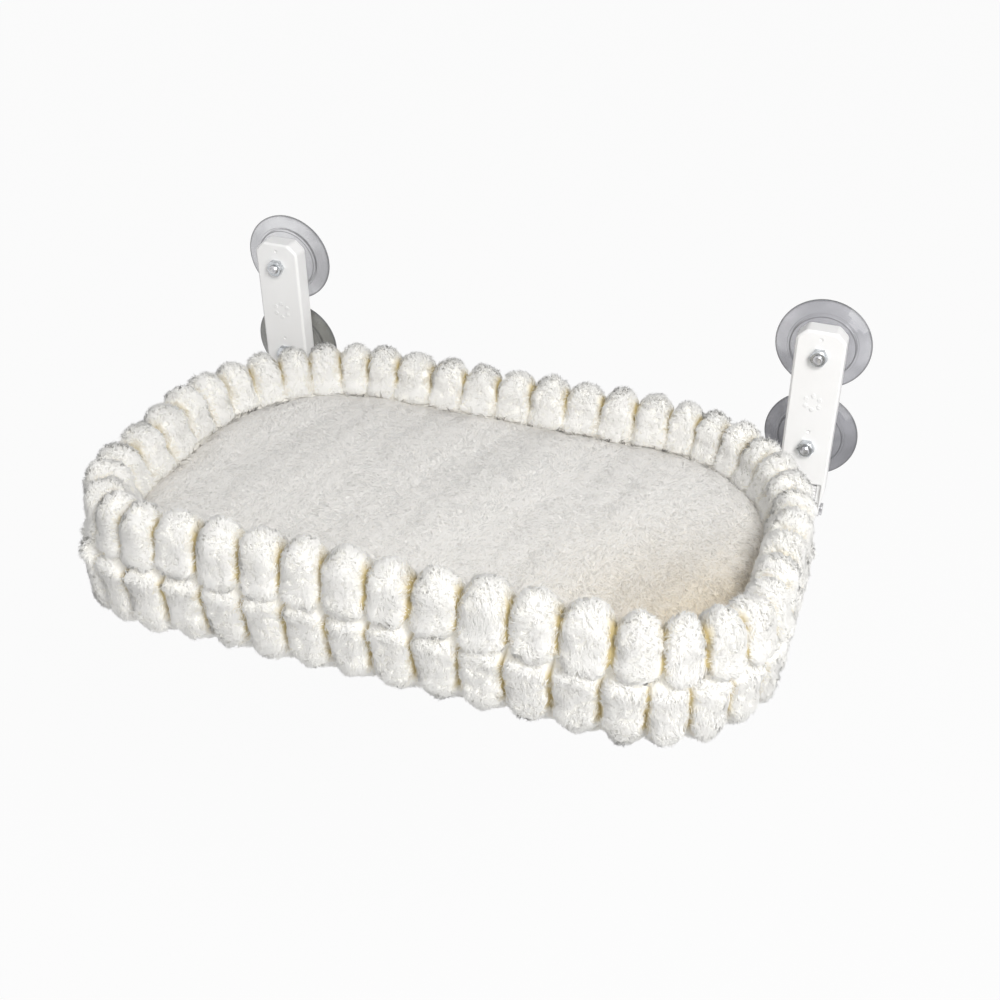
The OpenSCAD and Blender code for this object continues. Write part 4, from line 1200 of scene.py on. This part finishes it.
# %% Cloth under the bed
CLOTH_STEPS = 240
BASE_CLOTH = woven_cloth("base_cloth_weave", 0.78, 0.0009)
THREAD = Finish("sewing_thread", Roughness=0.6).material
THREAD.node_tree.nodes["Principled BSDF"].inputs["Base Color"].default_value = grey(0.86, 0.06)


def base_sheet():
    low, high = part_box("base_cloth")
    rings = np.array(slab_rings(BASE_INSET, low.z, high.z, 0.0004, 0.0, CLOTH_STEPS))
    around = 2 * math.pi * np.arange(CLOTH_STEPS) / CLOTH_STEPS
    pucker = 0.00045 * (np.sin(31 * around) + 0.6 * np.sin(53 * around + 1.0)) ** 2
    # The underside's rings come first, from the middle outwards
    strength = np.linspace(0, 1, len(FILLS)) ** 6
    for ring, share in zip(rings, strength):
        ring[:, 2] += 0.3 * share * pucker
    return mesh_of("base_cloth_sheet", *capped_tube(rings))


def ring_tube(name, inset, z, radius, sides=8, steps=360):
    """A thin round tube along the bed's outline."""
    u = OUTLINE_L * np.arange(steps) / steps
    angle = 2 * math.pi * np.arange(sides) / sides
    xy, _ = outline(u[:, None] + 0 * angle, inset + radius * np.cos(angle)[None, :] + 0 * u[:, None])
    points = np.dstack([xy, np.broadcast_to(z + radius * np.sin(angle), xy.shape[:2])])
    return mesh_of(name, points, grid_faces(steps, sides))


cloth_low, cloth_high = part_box("base_cloth")
sheet = piece_of(base_sheet(), "bed", BASE_CLOTH, ["base_cloth"])
piping = piece_of(ring_tube("base_piping", BASE_INSET - 0.0006, cloth_low.z + 0.0007, 0.0011),
                  "bed", BASE_CLOTH)

# %% [markdown]
# A stitch is a short thread that dips into the cloth at both ends. A seam is
# many of them in a row, so one function makes a whole seam from the places and
# directions of its stitches.

# %% Stitches
# Share of the length along, then the height and radius in half thicknesses
STITCH_PROFILE = ((-0.5, -0.9, 0.4), (-0.3, 0.2, 1.0), (0.0, 0.55, 1.0), (0.3, 0.2, 1.0), (0.5, -0.9, 0.4))


def seam_mesh(name, places, directions, normals, length, thickness):
    """A seam of stitches as one mesh. Each stitch is a bent tube with closed ends."""
    places, directions, normals = (np.asarray(v, float) for v in (places, directions, normals))
    across = np.cross(normals, directions)
    angle = 2 * math.pi * np.arange(6) / 6
    points, quads, tips = [], [], []
    for k, (place, along, up, side) in enumerate(zip(places, directions, normals, across)):
        turned = side[None] * np.cos(angle)[:, None] + up[None] * np.sin(angle)[:, None]
        rings = [place + along * length * a + 0.5 * thickness * (up * b + turned * r)
                 for a, b, r in STITCH_PROFILE]
        p, q, t = capped_tube(rings)
        points.append(p)
        quads.append(q + k * len(p))
        tips.append(t + k * len(p))
    return mesh_of(name, np.vstack(points), np.vstack(quads), np.vstack(tips))


STITCH_L, STITCH_STEP, THREAD_D = 0.0030, 0.0042, 0.0006
SEAM_INSET = BASE_INSET + 0.004


def base_seam():
    count = int((OUTLINE_L - 2 * math.pi * SEAM_INSET) / STITCH_STEP)
    u = OUTLINE_L * np.arange(count) / count
    xy, outward = outline(u, np.full(count, SEAM_INSET))
    places = np.c_[xy, np.full(count, cloth_low.z)]
    along = np.c_[-outward[:, 1], outward[:, 0], np.zeros(count)]
    return seam_mesh("base_seam", places, along, np.tile([0, 0, -1.0], (count, 1)), STITCH_L, THREAD_D)


ride_along(piece_of(base_seam(), "bed", THREAD), sheet)

# %% [markdown]
# Six straps of webbing hold the bed to the tubes. Each goes once round its
# tube, and its two ends lie on each other as a tab that is sewn under the bed.
# Webbing is stiff and lies flat under tension, so it needs no simulation: it
# is a band with rounded edges, swept round the tube, and a flat tab with seams.

# %% Straps
STRAP_T, STRAP_FIT = 0.0012, 0.00015
WEBBING = woven_cloth("strap_weave", 0.80, 0.0012)


def band_section(width, thickness):
    """The section of webbing: flat, with rounded edges. Across is first, thickness second."""
    w, t = width / 2, thickness / 2
    flat = w - 0.6 * t
    return np.array([(-w, 0), (-flat, t), (flat, t), (w, 0), (flat, -t), (-flat, -t)])


def add_strap(name, tube_along, tube_r):
    low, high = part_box(name)
    centre = (low + high) / 2
    along = Vector((1, 0, 0)) if tube_along == "x" else Vector((0, 1, 0))
    cross = Vector((0, 1, 0)) if tube_along == "x" else Vector((-1, 0, 0))
    width = abs((high - low).dot(along))
    tab_l = abs((high - low).dot(cross))
    loop_r = tube_r + STRAP_FIT + STRAP_T / 2
    axis_z = high.z - STRAP_T / 2 - loop_r
    section = band_section(width, STRAP_T)
    axes = np.array([along, cross, (0, 0, 1)])
    middle = np.array([centre.x, centre.y, axis_z])
    turn = 2 * math.pi * np.arange(48) / 48
    loop = np.array([[(a, (loop_r + b) * math.sin(t), (loop_r + b) * math.cos(t)) for a, b in section]
                     for t in turn])
    quads = grid_faces(len(turn), len(section))
    steps = np.linspace(-0.5, 0.5, 9) * tab_l
    tab = np.array([[(a, s, loop_r + b) for a, b in section] for s in steps])
    tab_points, tab_quads, tab_ends = capped_tube(tab)
    count = len(turn) * len(section)
    points = np.vstack([loop.reshape(-1, 3), tab_points]) @ axes + middle
    mesh = mesh_of(f"{name}_webbing", points, np.vstack([quads, tab_quads + count]), tab_ends + count)
    strap = piece_of(mesh, "bed", WEBBING, [name])
    rows = [(a, s) for s in (-0.46 * tab_l, -0.34 * tab_l, 0.34 * tab_l, 0.46 * tab_l)
            for a in np.arange(-0.42 * width, 0.43 * width, STITCH_STEP)]
    local = np.array([(a, s, loop_r - STRAP_T / 2) for a, s in rows])
    seam = seam_mesh(f"{name}_seam", local @ axes + middle, np.tile(along, (len(rows), 1)),
                     np.tile([0, 0, -1.0], (len(rows), 1)), STITCH_L, THREAD_D)
    ride_along(piece_of(seam, "bed", THREAD), strap)


side_low, side_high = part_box("left_side_tube")
TUBE_R = (side_high.x - side_low.x) / 2
for side in SIDES:
    add_strap(f"{side}_rear_strap", "y", TUBE_R)
    add_strap(f"{side}_front_strap", "y", TUBE_R)
    add_strap(f"front_{side}_strap", "x", TUBE_R)
print("straps: 6 round tubes of", round(2 * TUBE_R, 4), "m")
